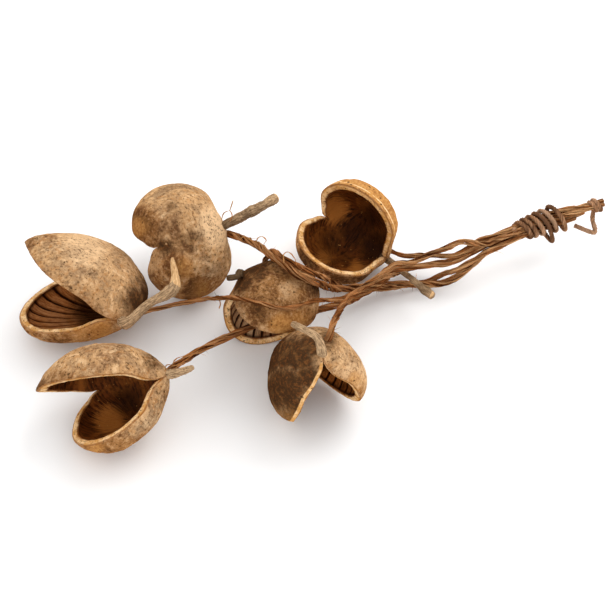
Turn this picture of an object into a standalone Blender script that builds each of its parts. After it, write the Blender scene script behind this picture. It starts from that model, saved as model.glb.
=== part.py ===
"""Buddha nut cluster: six split woody pods on twisted bark stems that are bound into a handle.

Lengths here are in millimetres and angles in degrees; a mesh is turned into metres as it is made.
The cluster lies on the surface z = 0 with its handle towards +X, as in a hand laid down on a table.
"""
import math
from dataclasses import dataclass

import bmesh
import bpy
import numpy as np

MM = 0.001
ORIGIN = (11.9, -39.7)     # layout point that stands under the middle of the cluster's box
FOOT_SINK = 0.5            # how deep each pod's small resting flat is cut

# Pod shells
WALL = 6.5                 # thickness of the woody wall at its rim
WALL_AT_STALK, WALL_AT_NOTCH = 0.45, 0.65
FRONT_SHARE = 0.56         # part of a pod's height on the mouth's side of its axis
SLIT = 0.5                 # half the gap between the two rims of a closed pod
NECK_SWELL, NECK_WIDTH = 0.22, 34.0
NECK_INSIDE = 0.7          # how far the hollow follows the neck
TIP_ANGLE, BEAK_WIDTH, KEEL_WIDTH = 170.0, 30.0, 100.0
CROWN_DROP = 0.06          # how far the crown of a half sits towards the pod's back
FOLD_NOTCH, FOLD_STALK, FOLD_BLEND = 14.0, 40.0, 6.0
LUMP_SHARE, LUMP_SIZE, LUMP_WAVES = 0.05, 36.0, 7
RIB_SHARE, RIB_CROWN = 0.035, (0.10, -0.16)
HINGE_PART = 0.25          # share of a rim's columns that lie on the joined back
PLAIN_COLUMNS, RIBBED_COLUMNS, RINGS = 36, 48, 5

# Stalks, stems and handle
STALK_SIDES, STALK_SPACING = 8, 7.0
STEM_RADIUS, STEM_SQUASH, STEM_TURN = 2.9, 0.78, 62.0
STEM_SIDES, STEM_SPACING = 8, 8.0
HOLE_RADIUS, HOLE_SIDES = 3.7, 12
HOLE_INSIDE, HOLE_OUTSIDE = 0.8, 9.0
STEM_IN_HOLE = (0.2, 3.5, 7.0)    # straight start of a stem, measured out from the wall's middle
BUNDLE_OFFSET, BUNDLE_TWIST, BOUND_FROM = 6.9, 50.0, 12.0
WIRE_RADIUS, WIRE_SIDES, WIRE_SPACING = 1.6, 6, 5.0
WRAP_RADIUS, WRAP_START, WRAP_LENGTH, WRAP_TURNS = 12.2, 47.0, 46.0, 5.5
TIE_RADIUS, TIE_START, TIE_TURNS, TIE_LENGTH = 12.2, 119.0, 1.4, 7.0

WOOD = (0.36, 0.235, 0.135)
BARK = (0.27, 0.115, 0.05)
WIRE = (0.13, 0.065, 0.035)


@dataclass(frozen=True)
class Pod:
    """One split pod. Its own +X points to its stalk, +Z to its mouth, and its halves open to +Y and -Y."""
    name: str
    place: tuple           # layout point of the pod's middle
    azimuth: float
    pitch: float
    roll: float
    length: float
    height: float
    depth: float           # from the rim's plane to the crown of a half
    opening: float         # turn of each half about the chord from stalk to notch
    notch: float           # angle round the rim where the joined back ends
    stalk_at: float        # angle round the rim where the stalk stands
    keel: float            # how pointed the far tip of the half on +Y is across its rim
    beak: float            # how far that tip stands out along its rim
    stretch: float         # extra length of the half on +Y
    ribbed: bool
    seed: int
    hole: tuple            # where the stem's hole is: angle past the stalk, angle up from the rim, half
    stalk: tuple           # layout points that the stalk runs through
    stalk_radii: tuple     # one more than the points: the first is at the pod


PODS = (
    Pod("pod_a", (-177.5, -12.5), -64, 14, 70, 94, 108, 27.5, 23, -139, -10, 0.5, 0.06, 1, True, 3, (-14, 0, 1),
        ((-140, -65, 56), (-123, -52, 64), (-104, -42, 72), (-106, -18, 80)), (5.5, 4.2, 3.8, 4.6, 2.6)),
    Pod("pod_b", (-151, -124.5), -1, 26.5, 54, 85, 77, 30, 25, -122, -11, 0.5, 0.06, 11, False, 5, (-14, 0, 1),
        ((-95, -119, 62), (-85, -117, 66)), (5.0, 4.0, 2.6)),
    Pod("pod_c", (-104, 29), 16, 11.5, 219, 74.5, 80, 29, 38, -118, -15, 0.2, 0.0, 0, False, 8, (13, 12, 1),
        ((-44, 41, 72), (-23, 54, 76)), (5.5, 4.2, 4.0)),
    Pod("pod_d", (35.5, 50), -25, -24, 40, 76.5, 78, 26.5, 33, -121, -13, 0.1, 0.0, 0, False, 13, (-15, 12, 1),
        ((84, 14, 25), (105, -19, 34)), (5.0, 3.6, 3.2)),
    Pod("pod_e", (-26, -39.5), 155, 27, -112, 68.5, 81.5, 30, 40, -128, -10, 0.2, 0.0, 0, True, 21, (-34, 0, 1),
        ((-53, -36, 78),), (5.0, 3.6)),
    Pod("pod_f", (6, -104), 108, 120, 2, 96, 75, 27, 32, -150, -9, 0.5, 0.06, 2, True, 34, (-15, 20, -1),
        ((8, -121, 108), (-10, -110, 110)), (5.5, 4.6, 3.6)),
)

# Layout points that each stem runs through between its pod and the handle, the angle round the handle's
# axis where it lies there, and how far along the handle it ends; the middle stem has no angle.
ROUTES = {
    "stem_a": (((-125, -32, 32), (-85, -33, 46), (-60, -58, 78), (-47, -69, 89), (-35, -75, 92),
                (-23, -78, 90), (-12, -75, 86), (0, -68, 82), (10, -58, 75), (28, -37, 52), (47, -19, 44),
                (66, 2, 38), (90, 13, 33), (122, 21, 29)), None, 131),
    "stem_b": (((-82, -88, 50), (-51, -71, 52), (-34, -61, 50), (-4, -49, 46), (14, -40, 43),
                (33, -29, 38), (50, -14, 33), (64, 4, 25), (78, 27, 11), (92, 35, 9), (124, 32, 20)), 316, 106),
    "stem_c": (((-42, 1, 67), (-31, -30, 95), (-24, -36, 95), (-16, -40, 94), (-8, -46, 92),
                (1, -46, 87), (9, -45, 81), (24, -23, 48), (39, -12, 36), (62, 8, 16), (81, 12, 13),
                (106, 15, 10), (119, 15, 12), (134, 22, 16)), 244, 112),
    "stem_d": (((85, 41, 17), (102, 31, 29), (119, 21, 39), (129, 22, 41)), 28, 131),
    "stem_e": (((-26, -18, 88), (-18, -29, 93), (-11, -33, 92), (-2, -36, 88), (6, -39, 86),
                (14, -33, 74), (25, -11, 40), (39, -2, 22), (62, 11, 8), (81, 16, 6), (104, 21, 7),
                (118, 21, 16), (129, 17, 27)), 172, 102),
    "stem_f": (((20, -105, 98), (25, -80, 84), (31, -57, 70), (42, -35, 58), (58, -14, 50), (75, 5, 46),
                (91, 10, 44), (106, 17, 47), (119, 19, 52), (131, 27, 50)), 100, 130),
}
HANDLE = ((139, 28, 34), (166, 43, 35), (201, 60, 37), (233, 72, 39), (258, 81, 41))
HOOK = ((258, 74, 34), (253, 62, 24), (239, 71, 22))


def main():
    clear_scene()
    shell_look = principled("dried_shell", WOOD, 0.75)
    bark_look = principled("twisted_bark", BARK, 0.85)
    wire_look = principled("wrapped_wire", WIRE, 0.65)
    for pod in PODS:
        build_pod(pod, shell_look)
    for name, (route, angle, end) in ROUTES.items():
        build_stem(name, route, angle, end, bark_look)
    build_binding(wire_look)
    build_end_tie(wire_look)


# Scene, meshes and materials

def clear_scene():
    """Takes every object out of the open scene."""
    for thing in list(bpy.data.objects):
        bpy.data.objects.remove(thing, do_unlink=True)


def principled(name, colour, roughness):
    """Material with one colour and roughness."""
    look = bpy.data.materials.new(name)
    look.use_nodes = True
    shader = look.node_tree.nodes["Principled BSDF"]
    shader.inputs["Base Color"].default_value = (*colour, 1.0)
    shader.inputs["Roughness"].default_value = roughness
    look.diffuse_color = (*colour, 1.0)
    return look


def mesh_object(name, points, faces, look):
    """Object whose mesh has these layout points, in metres about the cluster's origin."""
    shift = np.array([ORIGIN[0], ORIGIN[1], 0.0])
    mesh = bpy.data.meshes.new(name)
    mesh.from_pydata(((np.asarray(points) - shift) * MM).tolist(), [], faces)
    made = bmesh.new()
    made.from_mesh(mesh)
    bmesh.ops.recalc_face_normals(made, faces=made.faces)
    made.to_mesh(mesh)
    made.free()
    mesh.materials.append(look)
    mesh.shade_smooth()
    mesh.set_sharp_from_angle(angle=math.radians(40.0))
    thing = bpy.data.objects.new(name, mesh)
    bpy.context.scene.collection.objects.link(thing)
    return thing


def boolean(target, tool, operation):
    """Joins the tool to the target or cuts it away, and removes the tool."""
    step = target.modifiers.new(operation.lower(), "BOOLEAN")
    step.operation = operation
    step.solver = "EXACT"
    step.object = tool
    shape = target.evaluated_get(bpy.context.evaluated_depsgraph_get())
    mesh = bpy.data.meshes.new_from_object(shape)
    target.modifiers.remove(step)
    target.data = mesh
    bpy.data.objects.remove(tool, do_unlink=True)


# Small rules for curves and surfaces

def ease(t):
    """Smooth step from 0 to 1."""
    t = np.clip(t, 0.0, 1.0)
    return t * t * (3.0 - 2.0 * t)


def bell(offset, width):
    """Rounded peak of this half width about an angle."""
    away = np.abs((offset + 180.0) % 360.0 - 180.0) / width
    return np.clip(1.0 - away, 0.0, None) ** 2


def unit(vector):
    return vector / np.linalg.norm(vector)


def lumps(points, seed):
    """Low waves in seeded directions, from -1 to 1, that make a grown surface uneven."""
    draw = np.random.default_rng(seed)
    total = np.zeros(len(points))
    for _ in range(LUMP_WAVES):
        direction = unit(draw.normal(size=3))
        wave = 2.0 * math.pi / (LUMP_SIZE * draw.uniform(0.7, 1.6))
        total += np.sin(points @ direction * wave + draw.uniform(0.0, 2.0 * math.pi))
    return total / LUMP_WAVES


def smooth_path(points, spacing):
    """Points at even spacing along a smooth curve through the given ones."""
    points = np.asarray(points, float)
    ends = [2 * points[0] - points[1]], [2 * points[-1] - points[-2]]
    knots = np.concatenate([ends[0], points, ends[1]])
    t = np.linspace(0.0, 1.0, 24, endpoint=False)[:, None]
    dense = []
    for a, b, c, d in zip(knots, knots[1:], knots[2:], knots[3:]):
        dense.append(0.5 * (2 * b + (c - a) * t + (2 * a - 5 * b + 4 * c - d) * t**2
                            + (3 * b - a - 3 * c + d) * t**3))
    dense = np.concatenate(dense + [points[-1:]])
    steps = np.linalg.norm(np.diff(dense, axis=0), axis=1)
    run = np.concatenate([[0.0], np.cumsum(steps)])
    count = max(2, round(run[-1] / spacing)) + 1
    marks = np.linspace(0.0, run[-1], count)
    return np.stack([np.interp(marks, run, dense[:, axis]) for axis in range(3)], 1)


def frames(path):
    """Two directions square to the path at each of its points, carried along without twist."""
    tangents = np.gradient(path, axis=0)
    tangents /= np.linalg.norm(tangents, axis=1)[:, None]
    side = unit(np.cross(tangents[0], [0.0, 0.0, 1.0] if abs(tangents[0][2]) < 0.9 else [0.0, 1.0, 0.0]))
    first = []
    for tangent in tangents:
        side = unit(side - tangent * (side @ tangent))
        first.append(side)
    first = np.array(first)
    return first, np.cross(tangents, first)


def tube(name, path, radii, sides, look, squash=1.0, turn_length=None):
    """Tube along a path with flat ends; an oval one turns once in each turn_length."""
    first, second = frames(path)
    steps = np.linalg.norm(np.diff(path, axis=0), axis=1)
    run = np.concatenate([[0.0], np.cumsum(steps)])
    turn = 2.0 * math.pi * run / turn_length if turn_length else np.zeros(len(path))
    points = []
    for n in range(sides):
        a = 2.0 * math.pi * n / sides
        u, v = math.cos(a) * radii, squash * math.sin(a) * radii
        x, y = u * np.cos(turn) - v * np.sin(turn), u * np.sin(turn) + v * np.cos(turn)
        points.append(path + first * x[:, None] + second * y[:, None])
    points = np.stack(points, 1).reshape(-1, 3)
    faces = []
    for ring in range(len(path) - 1):
        for n in range(sides):
            a, b = ring * sides + n, ring * sides + (n + 1) % sides
            faces.append((a, b, b + sides, a + sides))
    faces.append(tuple(range(sides))[::-1])
    faces.append(tuple(range((len(path) - 1) * sides, len(path) * sides)))
    return mesh_object(name, points, faces, look)


# Pods

def turned(pod):
    """Matrix that turns a pod's own directions to the layout's."""
    az, pitch, roll = (math.radians(v) for v in (pod.azimuth, pod.pitch, pod.roll))
    about_z = np.array([[math.cos(az), -math.sin(az), 0], [math.sin(az), math.cos(az), 0], [0, 0, 1]])
    about_y = np.array([[math.cos(pitch), 0, -math.sin(pitch)], [0, 1, 0],
                        [math.sin(pitch), 0, math.cos(pitch)]])
    about_x = np.array([[1, 0, 0], [0, math.cos(roll), -math.sin(roll)],
                        [0, math.sin(roll), math.cos(roll)]])
    return about_z @ about_y @ about_x


def rim_outline(pod, angle, inset, side):
    """Closed rim at these angles, inset into the wall: distances along and across the pod's axis."""
    a = np.radians(angle)
    thin = (1.0 - (1.0 - WALL_AT_STALK) * bell(angle - pod.stalk_at, 50.0)
            - (1.0 - WALL_AT_NOTCH) * bell(angle - pod.notch, 40.0))
    share = np.where(np.sin(a) > 0.0, FRONT_SHARE, 1.0 - FRONT_SHARE)
    neck = NECK_SWELL * bell(angle - pod.stalk_at, NECK_WIDTH)
    beak = pod.beak * bell(angle - TIP_ANGLE, BEAK_WIDTH) if side > 0 else 0.0
    along = (0.5 * pod.length - inset * thin) * np.cos(a)
    across = (share * pod.height - inset * thin) * np.sin(a)
    return along, across, (neck + beak) * (NECK_INSIDE if inset else 1.0)


def rim_columns(pod):
    """Angles of the columns round a rim, the joined back first, and how many lie on that back."""
    count = RIBBED_COLUMNS if pod.ribbed else PLAIN_COLUMNS
    hinge = round(count * HINGE_PART)
    back = np.linspace(pod.notch, pod.stalk_at, hinge, endpoint=False)
    front = np.linspace(pod.stalk_at, pod.notch + 360.0, count - hinge, endpoint=False)
    return np.concatenate([back, front]), hinge


def skin_ring(pod, angles, tau, inset, side):
    """One ring of a closed half's skin; tau is 0 at the rim and a half pi at the crown."""
    ribs = pod.ribbed and inset > 0.0
    crown = np.array(RIB_CROWN if ribs else (0.0, -CROWN_DROP)) * (pod.length, pod.height)
    along, across, swell = rim_outline(pod, angles, inset, side)
    power = 0.94 + (pod.keel if side > 0 else 0.3 * pod.keel) * bell(angles - TIP_ANGLE, KEEL_WIDTH)
    radial = math.cos(tau) ** 0.88
    grow = radial * (1.0 + swell * radial**3)
    rise = (pod.depth - inset) * math.sin(tau) ** power if tau else np.zeros(len(angles))
    ring = np.stack([crown[0] * (1.0 - radial) + along * grow, rise * side,
                     crown[1] * (1.0 - radial) + across * grow], 1)
    if ribs:
        wave = np.where(np.arange(len(angles)) % 2, 1.0, -1.0)
        ring *= 1.0 + RIB_SHARE * (wave * math.sin(2.0 * tau))[:, None]
    return ring


def half_skin(pod, angles, hinge, inset, side):
    """Rings of points from the rim to the crown of one closed half, inside or outside its wall."""
    rings = [skin_ring(pod, angles, 0.5 * math.pi * n / RINGS, inset, side) for n in range(RINGS)]
    crown = skin_ring(pod, angles[:1], 0.5 * math.pi, inset, side)
    points = np.concatenate(rings + [crown])
    points[hinge + 1:len(angles), 1] = SLIT * side
    return points


def open_half(pod, points, back, side):
    """Turns a half out about the chord from stalk to notch, with a fold that follows the joined back."""
    away = np.linalg.norm(points[:, None, :] - back[None], axis=2)
    near = np.exp(-(away - away.min(1, keepdims=True)) / FOLD_BLEND)
    along_back = (near * np.linspace(0.0, 1.0, len(back))).sum(1) / near.sum(1)
    fold = FOLD_NOTCH + (FOLD_STALK - FOLD_NOTCH) * ease(along_back / 0.45)
    share = ease(away.min(1) / fold)
    notch, stalk = back[0], back[-1]
    axis = unit(stalk - notch)
    turn = -np.radians(pod.opening) * share * side
    reach = np.clip(0.5 - points[:, 0] / pod.length, 0.0, None) ** 1.5
    arm = points - notch
    arm[:, 0] -= pod.stretch * max(side, 0) * share * reach
    cosine, sine = np.cos(turn)[:, None], np.sin(turn)[:, None]
    return notch + arm * cosine + np.cross(axis, arm) * sine + axis * (arm @ axis)[:, None] * (1.0 - cosine)


def shaped(pod, points, side):
    """A closed half's points as grown and opened: uneven, and turned out."""
    uneven = points * (1.0 + LUMP_SHARE * lumps(points, pod.seed))[:, None]
    return open_half(pod, uneven, back_line(pod, 0.0), side)


def back_line(pod, inset):
    """Fine line of points along the joined back, from the notch to the stalk."""
    angles = np.linspace(pod.notch, pod.stalk_at, 40)
    along, across, swell = rim_outline(pod, angles, inset, 1)
    return np.stack([along * (1.0 + swell), np.zeros(40), across * (1.0 + swell)], 1)


def shell(pod):
    """Points and faces of an open pod: both halves' skins and the rim between them."""
    angles, hinge = rim_columns(pod)
    count = len(angles)
    points, faces, skins = [], [], {}
    for inset in (0.0, WALL):
        for side in (1, -1):
            half = shaped(pod, half_skin(pod, angles, hinge, inset, side), side)
            kept = [n for n in range(len(half)) if side > 0 or not n <= hinge]
            ids = dict(zip(kept, range(len(points), len(points) + len(kept))))
            points.extend(half[kept])
            skins[inset, side] = [ids[n] if n in ids else skins[inset, 1][n] for n in range(len(half))]
    for ids in skins.values():
        for ring in range(RINGS - 1):
            for n in range(count):
                m = (n + 1) % count
                faces.append([ids[ring * count + n], ids[ring * count + m],
                              ids[(ring + 1) * count + m], ids[(ring + 1) * count + n]])
        for n in range(count):
            last = (RINGS - 1) * count
            faces.append([ids[last + n], ids[last + (n + 1) % count], ids[RINGS * count]])
    for side in (1, -1):
        outer, inner = skins[0.0, side], skins[WALL, side]
        for n in range(hinge, count):
            m = (n + 1) % count
            faces.append([outer[n], outer[m], inner[m], inner[n]])
    return np.array(points), faces


def seat(pod, points):
    """Shift that drops a turned pod onto the surface, sunk by the depth of its foot."""
    lowest = (points @ turned(pod).T)[:, 2].min()
    return np.array([pod.place[0], pod.place[1], -lowest - FOOT_SINK])


def hole_axis(pod, shift):
    """Middle and outward direction, in the layout, of the hole by the stalk that holds the stem."""
    offset, tau, side = pod.hole
    angle = np.array([pod.stalk_at + offset])
    inside, outside = (shaped(pod, skin_ring(pod, angle, math.radians(tau), inset, side), side)[0]
                       for inset in (WALL, 0.0))
    return turned(pod) @ (0.5 * (inside + outside)) + shift, turned(pod) @ unit(outside - inside)


def build_pod(pod, look):
    """One pod: its open shell, the stalk grown on it, the hole for its stem and the flat it rests on."""
    points, faces = shell(pod)
    shift = seat(pod, points)
    body = mesh_object(pod.name, points @ turned(pod).T + shift, faces, look)
    root = back_line(pod, 0.5 * WALL)[-1]
    path = [turned(pod) @ (root - [3.0, 0.0, 0.0]) + shift, turned(pod) @ (root + [3.0, 0.0, 0.0]) + shift]
    path = smooth_path(path + [np.array(p, float) for p in pod.stalk], STALK_SPACING)
    radii = np.interp(np.linspace(0.0, 1.0, len(path)), np.linspace(0.0, 1.0, len(pod.stalk_radii)),
                      pod.stalk_radii)
    boolean(body, tube("stalk", path, radii, STALK_SIDES, look), "UNION")
    middle, out = hole_axis(pod, shift)
    drill = np.array([middle - out * HOLE_INSIDE, middle + out * HOLE_OUTSIDE])
    boolean(body, tube("drill", drill, np.full(2, HOLE_RADIUS), HOLE_SIDES, look), "DIFFERENCE")
    flatten_foot(body)


def flatten_foot(body):
    """Cuts off what lies under the surface and closes the cut with one flat face."""
    made = bmesh.new()
    made.from_mesh(body.data)
    bmesh.ops.bisect_plane(made, geom=made.verts[:] + made.edges[:] + made.faces[:], dist=1e-7,
                           plane_co=(0.0, 0.0, 0.0), plane_no=(0.0, 0.0, -1.0), clear_outer=True)
    rims = [edge for edge in made.edges if edge.is_boundary]
    bmesh.ops.contextual_create(made, geom=rims)
    bmesh.ops.recalc_face_normals(made, faces=made.faces)
    made.to_mesh(body.data)
    made.free()


# Stems, binding and end tie

def handle_path():
    """Axis of the handle at even spacing, with the distance run at each point."""
    path = smooth_path(HANDLE, 2.0)
    run = np.concatenate([[0.0], np.cumsum(np.linalg.norm(np.diff(path, axis=0), axis=1))])
    return path, run


def handle_axes(path):
    """Level direction away from the viewer and upward direction, square to the handle."""
    tangents = np.gradient(path, axis=0)
    tangents /= np.linalg.norm(tangents, axis=1)[:, None]
    level = np.cross(np.array([0.0, 0.0, 1.0]), tangents)
    level /= np.linalg.norm(level, axis=1)[:, None]
    return level, np.cross(tangents, level)


def round_handle(run, angle, radius):
    """Layout points at these distances along the handle, at an angle and radius about its axis."""
    path, marks = handle_path()
    level, up = handle_axes(path)
    a = np.radians(angle)[:, None]
    middle, aside, above = (np.stack([np.interp(run, marks, field[:, axis]) for axis in range(3)], 1)
                            for field in (path, level, up))
    return middle + radius * (aside * np.cos(a) + above * np.sin(a))


def build_stem(name, route, angle, end, look):
    """One twisted bark stem, from the hole in its pod through its route and along the handle."""
    pod = next(pod for pod in PODS if pod.name == name.replace("stem", "pod"))
    shift = seat(pod, shell(pod)[0])
    middle, out = hole_axis(pod, shift)
    run = np.linspace(BOUND_FROM, end, 9)
    radius = 0.0 if angle is None else BUNDLE_OFFSET
    bound = round_handle(run, (angle or 0.0) + BUNDLE_TWIST * run / 150.0, radius)
    points = [middle + out * reach for reach in STEM_IN_HOLE] + [np.array(p, float) for p in route]
    path = smooth_path(points + list(bound), STEM_SPACING)
    radii = np.full(len(path), STEM_RADIUS)
    tube(name, path, radii, STEM_SIDES, look, STEM_SQUASH, STEM_TURN)


def build_binding(look):
    """Wire wound round the handle in a few uneven turns."""
    t = np.linspace(0.0, 1.0, round(WRAP_TURNS * 18))
    run = WRAP_START + WRAP_LENGTH * t + 1.2 * np.sin(2.0 * math.pi * 3.3 * t)
    path = round_handle(run, 200.0 + 360.0 * WRAP_TURNS * t, WRAP_RADIUS)
    path = smooth_path(path, WIRE_SPACING)
    tube("binding", path, np.full(len(path), WIRE_RADIUS), WIRE_SIDES, look)


def build_end_tie(look):
    """Wire tied round the handle's end, with its tail bent into a small hook."""
    t = np.linspace(0.0, 1.0, round(TIE_TURNS * 18))
    run = TIE_START + TIE_LENGTH * t
    path = round_handle(run, 0.0 - 360.0 * TIE_TURNS * t, TIE_RADIUS)
    path = smooth_path(list(path) + [np.array(p, float) for p in HOOK], WIRE_SPACING)
    tube("end_tie", path, np.full(len(path), WIRE_RADIUS), WIRE_SIDES, look)


main()
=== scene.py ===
"""Buddha nut cluster: the looks of six split woody pods on twisted bark stems, bound into a handle.

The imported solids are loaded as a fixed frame. Each piece here is built in millimetres over the solid that
it stands for, by the same rules with finer forms, and turned into metres as its mesh is made.
"""
import math
from dataclasses import dataclass

import bmesh
import bpy
import numpy as np
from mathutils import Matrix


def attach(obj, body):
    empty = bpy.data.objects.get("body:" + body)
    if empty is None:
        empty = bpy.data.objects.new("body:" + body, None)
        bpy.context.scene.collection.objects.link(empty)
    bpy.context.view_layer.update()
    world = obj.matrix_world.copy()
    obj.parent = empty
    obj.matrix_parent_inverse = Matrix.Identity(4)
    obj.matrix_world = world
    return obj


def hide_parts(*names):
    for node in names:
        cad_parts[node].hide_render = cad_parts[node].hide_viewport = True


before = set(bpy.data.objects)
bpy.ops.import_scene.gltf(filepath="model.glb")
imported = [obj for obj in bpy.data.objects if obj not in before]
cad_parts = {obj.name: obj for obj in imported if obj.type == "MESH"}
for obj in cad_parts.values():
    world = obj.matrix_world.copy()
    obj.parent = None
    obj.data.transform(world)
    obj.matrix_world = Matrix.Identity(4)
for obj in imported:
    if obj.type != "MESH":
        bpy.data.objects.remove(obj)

bl_info = {
    "name": "Buddha nut cluster",
    "version": (1, 0, 0),
    "blender": (4, 5, 0),
    "location": "3D View > Sidebar > Cluster",
    "description": "Makes a bound cluster of split woody pods and its stage",
    "category": "Object",
}

MM = 0.001
ORIGIN = np.array([11.9, -39.7, 0.0])    # layout point under the middle of the cluster's box
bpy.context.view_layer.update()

# Pod shells, as in the solids: millimetres and degrees, and shares where a comment says so
WALL = 6.5
WALL_AT_STALK, WALL_AT_NOTCH = 0.45, 0.65  # shares of the full wall where it thins
THIN_BY_STALK, THIN_BY_NOTCH = 50.0, 40.0  # half widths, in degrees, of the thin stretches
FRONT_SHARE = 0.56                         # share of a pod's height on its mouth's side
SLIT = 0.5                                 # from the middle plane to each split edge of a closed pod
FOOT_SINK = 0.5                            # depth of the small flat that a pod rests on
NECK_WIDTH, NECK_INSIDE = 34.0, 0.7        # half width of the swollen neck, and share that the inside follows
TIP_ANGLE, BEAK_WIDTH, KEEL_WIDTH = 170.0, 30.0, 100.0
BACK_KEEL = 0.3                            # keel of the half that opens to -Y, as a share of the other's
CROWN_DROP = 0.06                          # share of the height by which a smooth crown lies low
DOME_ROUNDNESS, DOME_POWER = 0.88, 0.94    # powers that shape a half from its rim to its crown
FOLD_NOTCH, FOLD_STALK, FOLD_BLEND = 14.0, 40.0, 6.0      # widths of the folded strip by the joined back
FOLD_LENGTH = 0.45                         # share of the back, from the notch, over which the fold widens
STRETCH_POWER = 1.5
BELL_ROUND = 0.14                          # how blunt the peak of a bell is, as a share of its half width
LUMP_SHARE, LUMP_SIZE, LUMP_WAVES = 0.05, 36.0, 7
RIB_SHARE, RIB_CROWN = 0.035, (0.10, -0.16)    # depth of the slats and place of their crown, as shares
BACK_POINTS = 40
PLAIN_COLUMNS, RIBBED_COLUMNS = 36, 48     # columns of the solids, which set where the ribs lie
FINER = 5                                  # columns here for each column of a solid
RINGS, SOLID_RINGS = 40, 5                 # rings from rim to crown, here and in a solid

# Finer forms of the looks
POINT_ROUND = 3.0                          # degrees over which a swell by a point on a rim is blunt
BAND_ROWS, BAND_HUMP = 7, 0.16             # rows across a split edge, and its rise as a share of its width
EDGE_COLUMNS = 20                          # columns over which the open edge fades into the joined back
SLAT_GAP, SLAT_EDGE = 0.04, 0.36           # half a gap and a slat's slope, in columns of the solid
SKIN_RELIEF = ((0.22, 13.0), (0.20, 5.5), (0.13, 2.2))    # heights and sizes of the bumps
HOLLOW_RELIEF = ((0.35, 7.0), (0.15, 2.4))
RIM_RELIEF = ((0.22, 3.0), (0.12, 1.2))
KNOB_RELIEF = ((0.42, 5.5), (0.28, 2.4))
DENT_SIZE, DENT_DEPTH = 7.0, 1.2
STALK_SIDES = 36
STALK_END = (0.97, 0.9, 0.72)              # how a stalk's last rings narrow to its cut
STALK_LINES = 0.10                         # depth of a stalk's ring wrinkles and grooves
FINE_STEP, STEM_STEP = 0.8, 2.0            # spacing of the points along stalks and wires, and along stems
STRIP_RIDGES, STRIP_INNER, STRIP_OUTER = 6, 0.42, 0.54    # grooved section of a strip, as shares of its width
STRIP_ROUGHNESS, CORE_SWELL = 0.0006, 0.8

# Handle, as in the solids
BUNDLE_TWIST, TWIST_RUN = 50.0, 150.0    # the stems turn about the handle by this angle over this distance
BOUND_FROM, BOUND_POINTS = 12.0, 12      # where the stems lie bound, and points along that stretch
HANDLE_TAPER = (12.0, 45.0, 90.0, 104.0, 116.0, 131.0), (6.6, 4.8, 5.4, 4.2, 2.4, 1.9)    # run and radius
STEM_START = (-1.5, 1.5, 4.5)            # straight start of a stem, measured out from the wall's middle
CURVE_STEPS = 24                         # points on a smooth curve between two given ones


@dataclass(frozen=True)
class Pod:
    """One split pod. Its own +X points to its stalk, +Z to its mouth, and its halves open to +Y and -Y."""
    name: str
    place: tuple
    azimuth: float
    pitch: float
    roll: float
    length: float
    height: float
    depth: float
    opening: float
    notch: float
    stalk_at: float
    keel: float
    beak: float
    stretch: float
    ribbed: bool
    seed: int
    hole: tuple
    stalk: tuple


PODS = (
    Pod("pod_a", (-177.5, -12.5), -64, 14, 70, 94, 108, 27.5, 23, -139, -10, 0.5, 0.06, 1, True, 3,
        (-14, 0, 1), ((-140, -65, 56), (-123, -52, 64), (-104, -42, 72), (-106, -18, 80))),
    Pod("pod_b", (-151, -124.5), -1, 26.5, 54, 85, 77, 30, 25, -122, -11, 0.5, 0.06, 11, False, 5,
        (-14, 0, 1), ((-95, -119, 62), (-85, -117, 66))),
    Pod("pod_c", (-104, 29), 16, 11.5, 219, 74.5, 80, 29, 38, -118, -15, 0.2, 0.0, 0, False, 8,
        (13, 12, 1), ((-44, 41, 72), (-23, 54, 76))),
    Pod("pod_d", (35.5, 50), -25, -24, 40, 76.5, 78, 26.5, 33, -121, -13, 0.1, 0.0, 0, False, 13,
        (-15, 12, 1), ((84, 14, 25), (105, -19, 34))),
    Pod("pod_e", (-26, -39.5), 155, 27, -112, 68.5, 81.5, 30, 40, -128, -10, 0.2, 0.0, 0, True, 21,
        (-34, 0, 1), ((-53, -36, 78), (-62, -37, 77))),
    Pod("pod_f", (6, -104), 108, 120, 2, 96, 75, 27, 32, -150, -9, 0.5, 0.06, 2, True, 34,
        (-15, 20, -1), ((8, -121, 108), (-10, -110, 110))),
)

# Finer forms than the solids': how uneven a pod is, how far its neck swells, and points on the rim of the
# half that opens to +Y, each with its angle, width and swell.
FINE = {
    "pod_a": (0.035, 0.22, ((112, 7, 0.075),)),
    "pod_b": (0.035, 0.20, ((170, 5, 0.08),)),
    "pod_c": (0.018, 0.10, ()),
    "pod_d": (0.015, 0.17, ()),
    "pod_e": (0.035, 0.06, ()),
    "pod_f": (0.018, 0.14, ((18, 12, -0.10), (60, 14, 0.03), (78, 8, 0.05), (108, 18, -0.04))),
}

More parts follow.
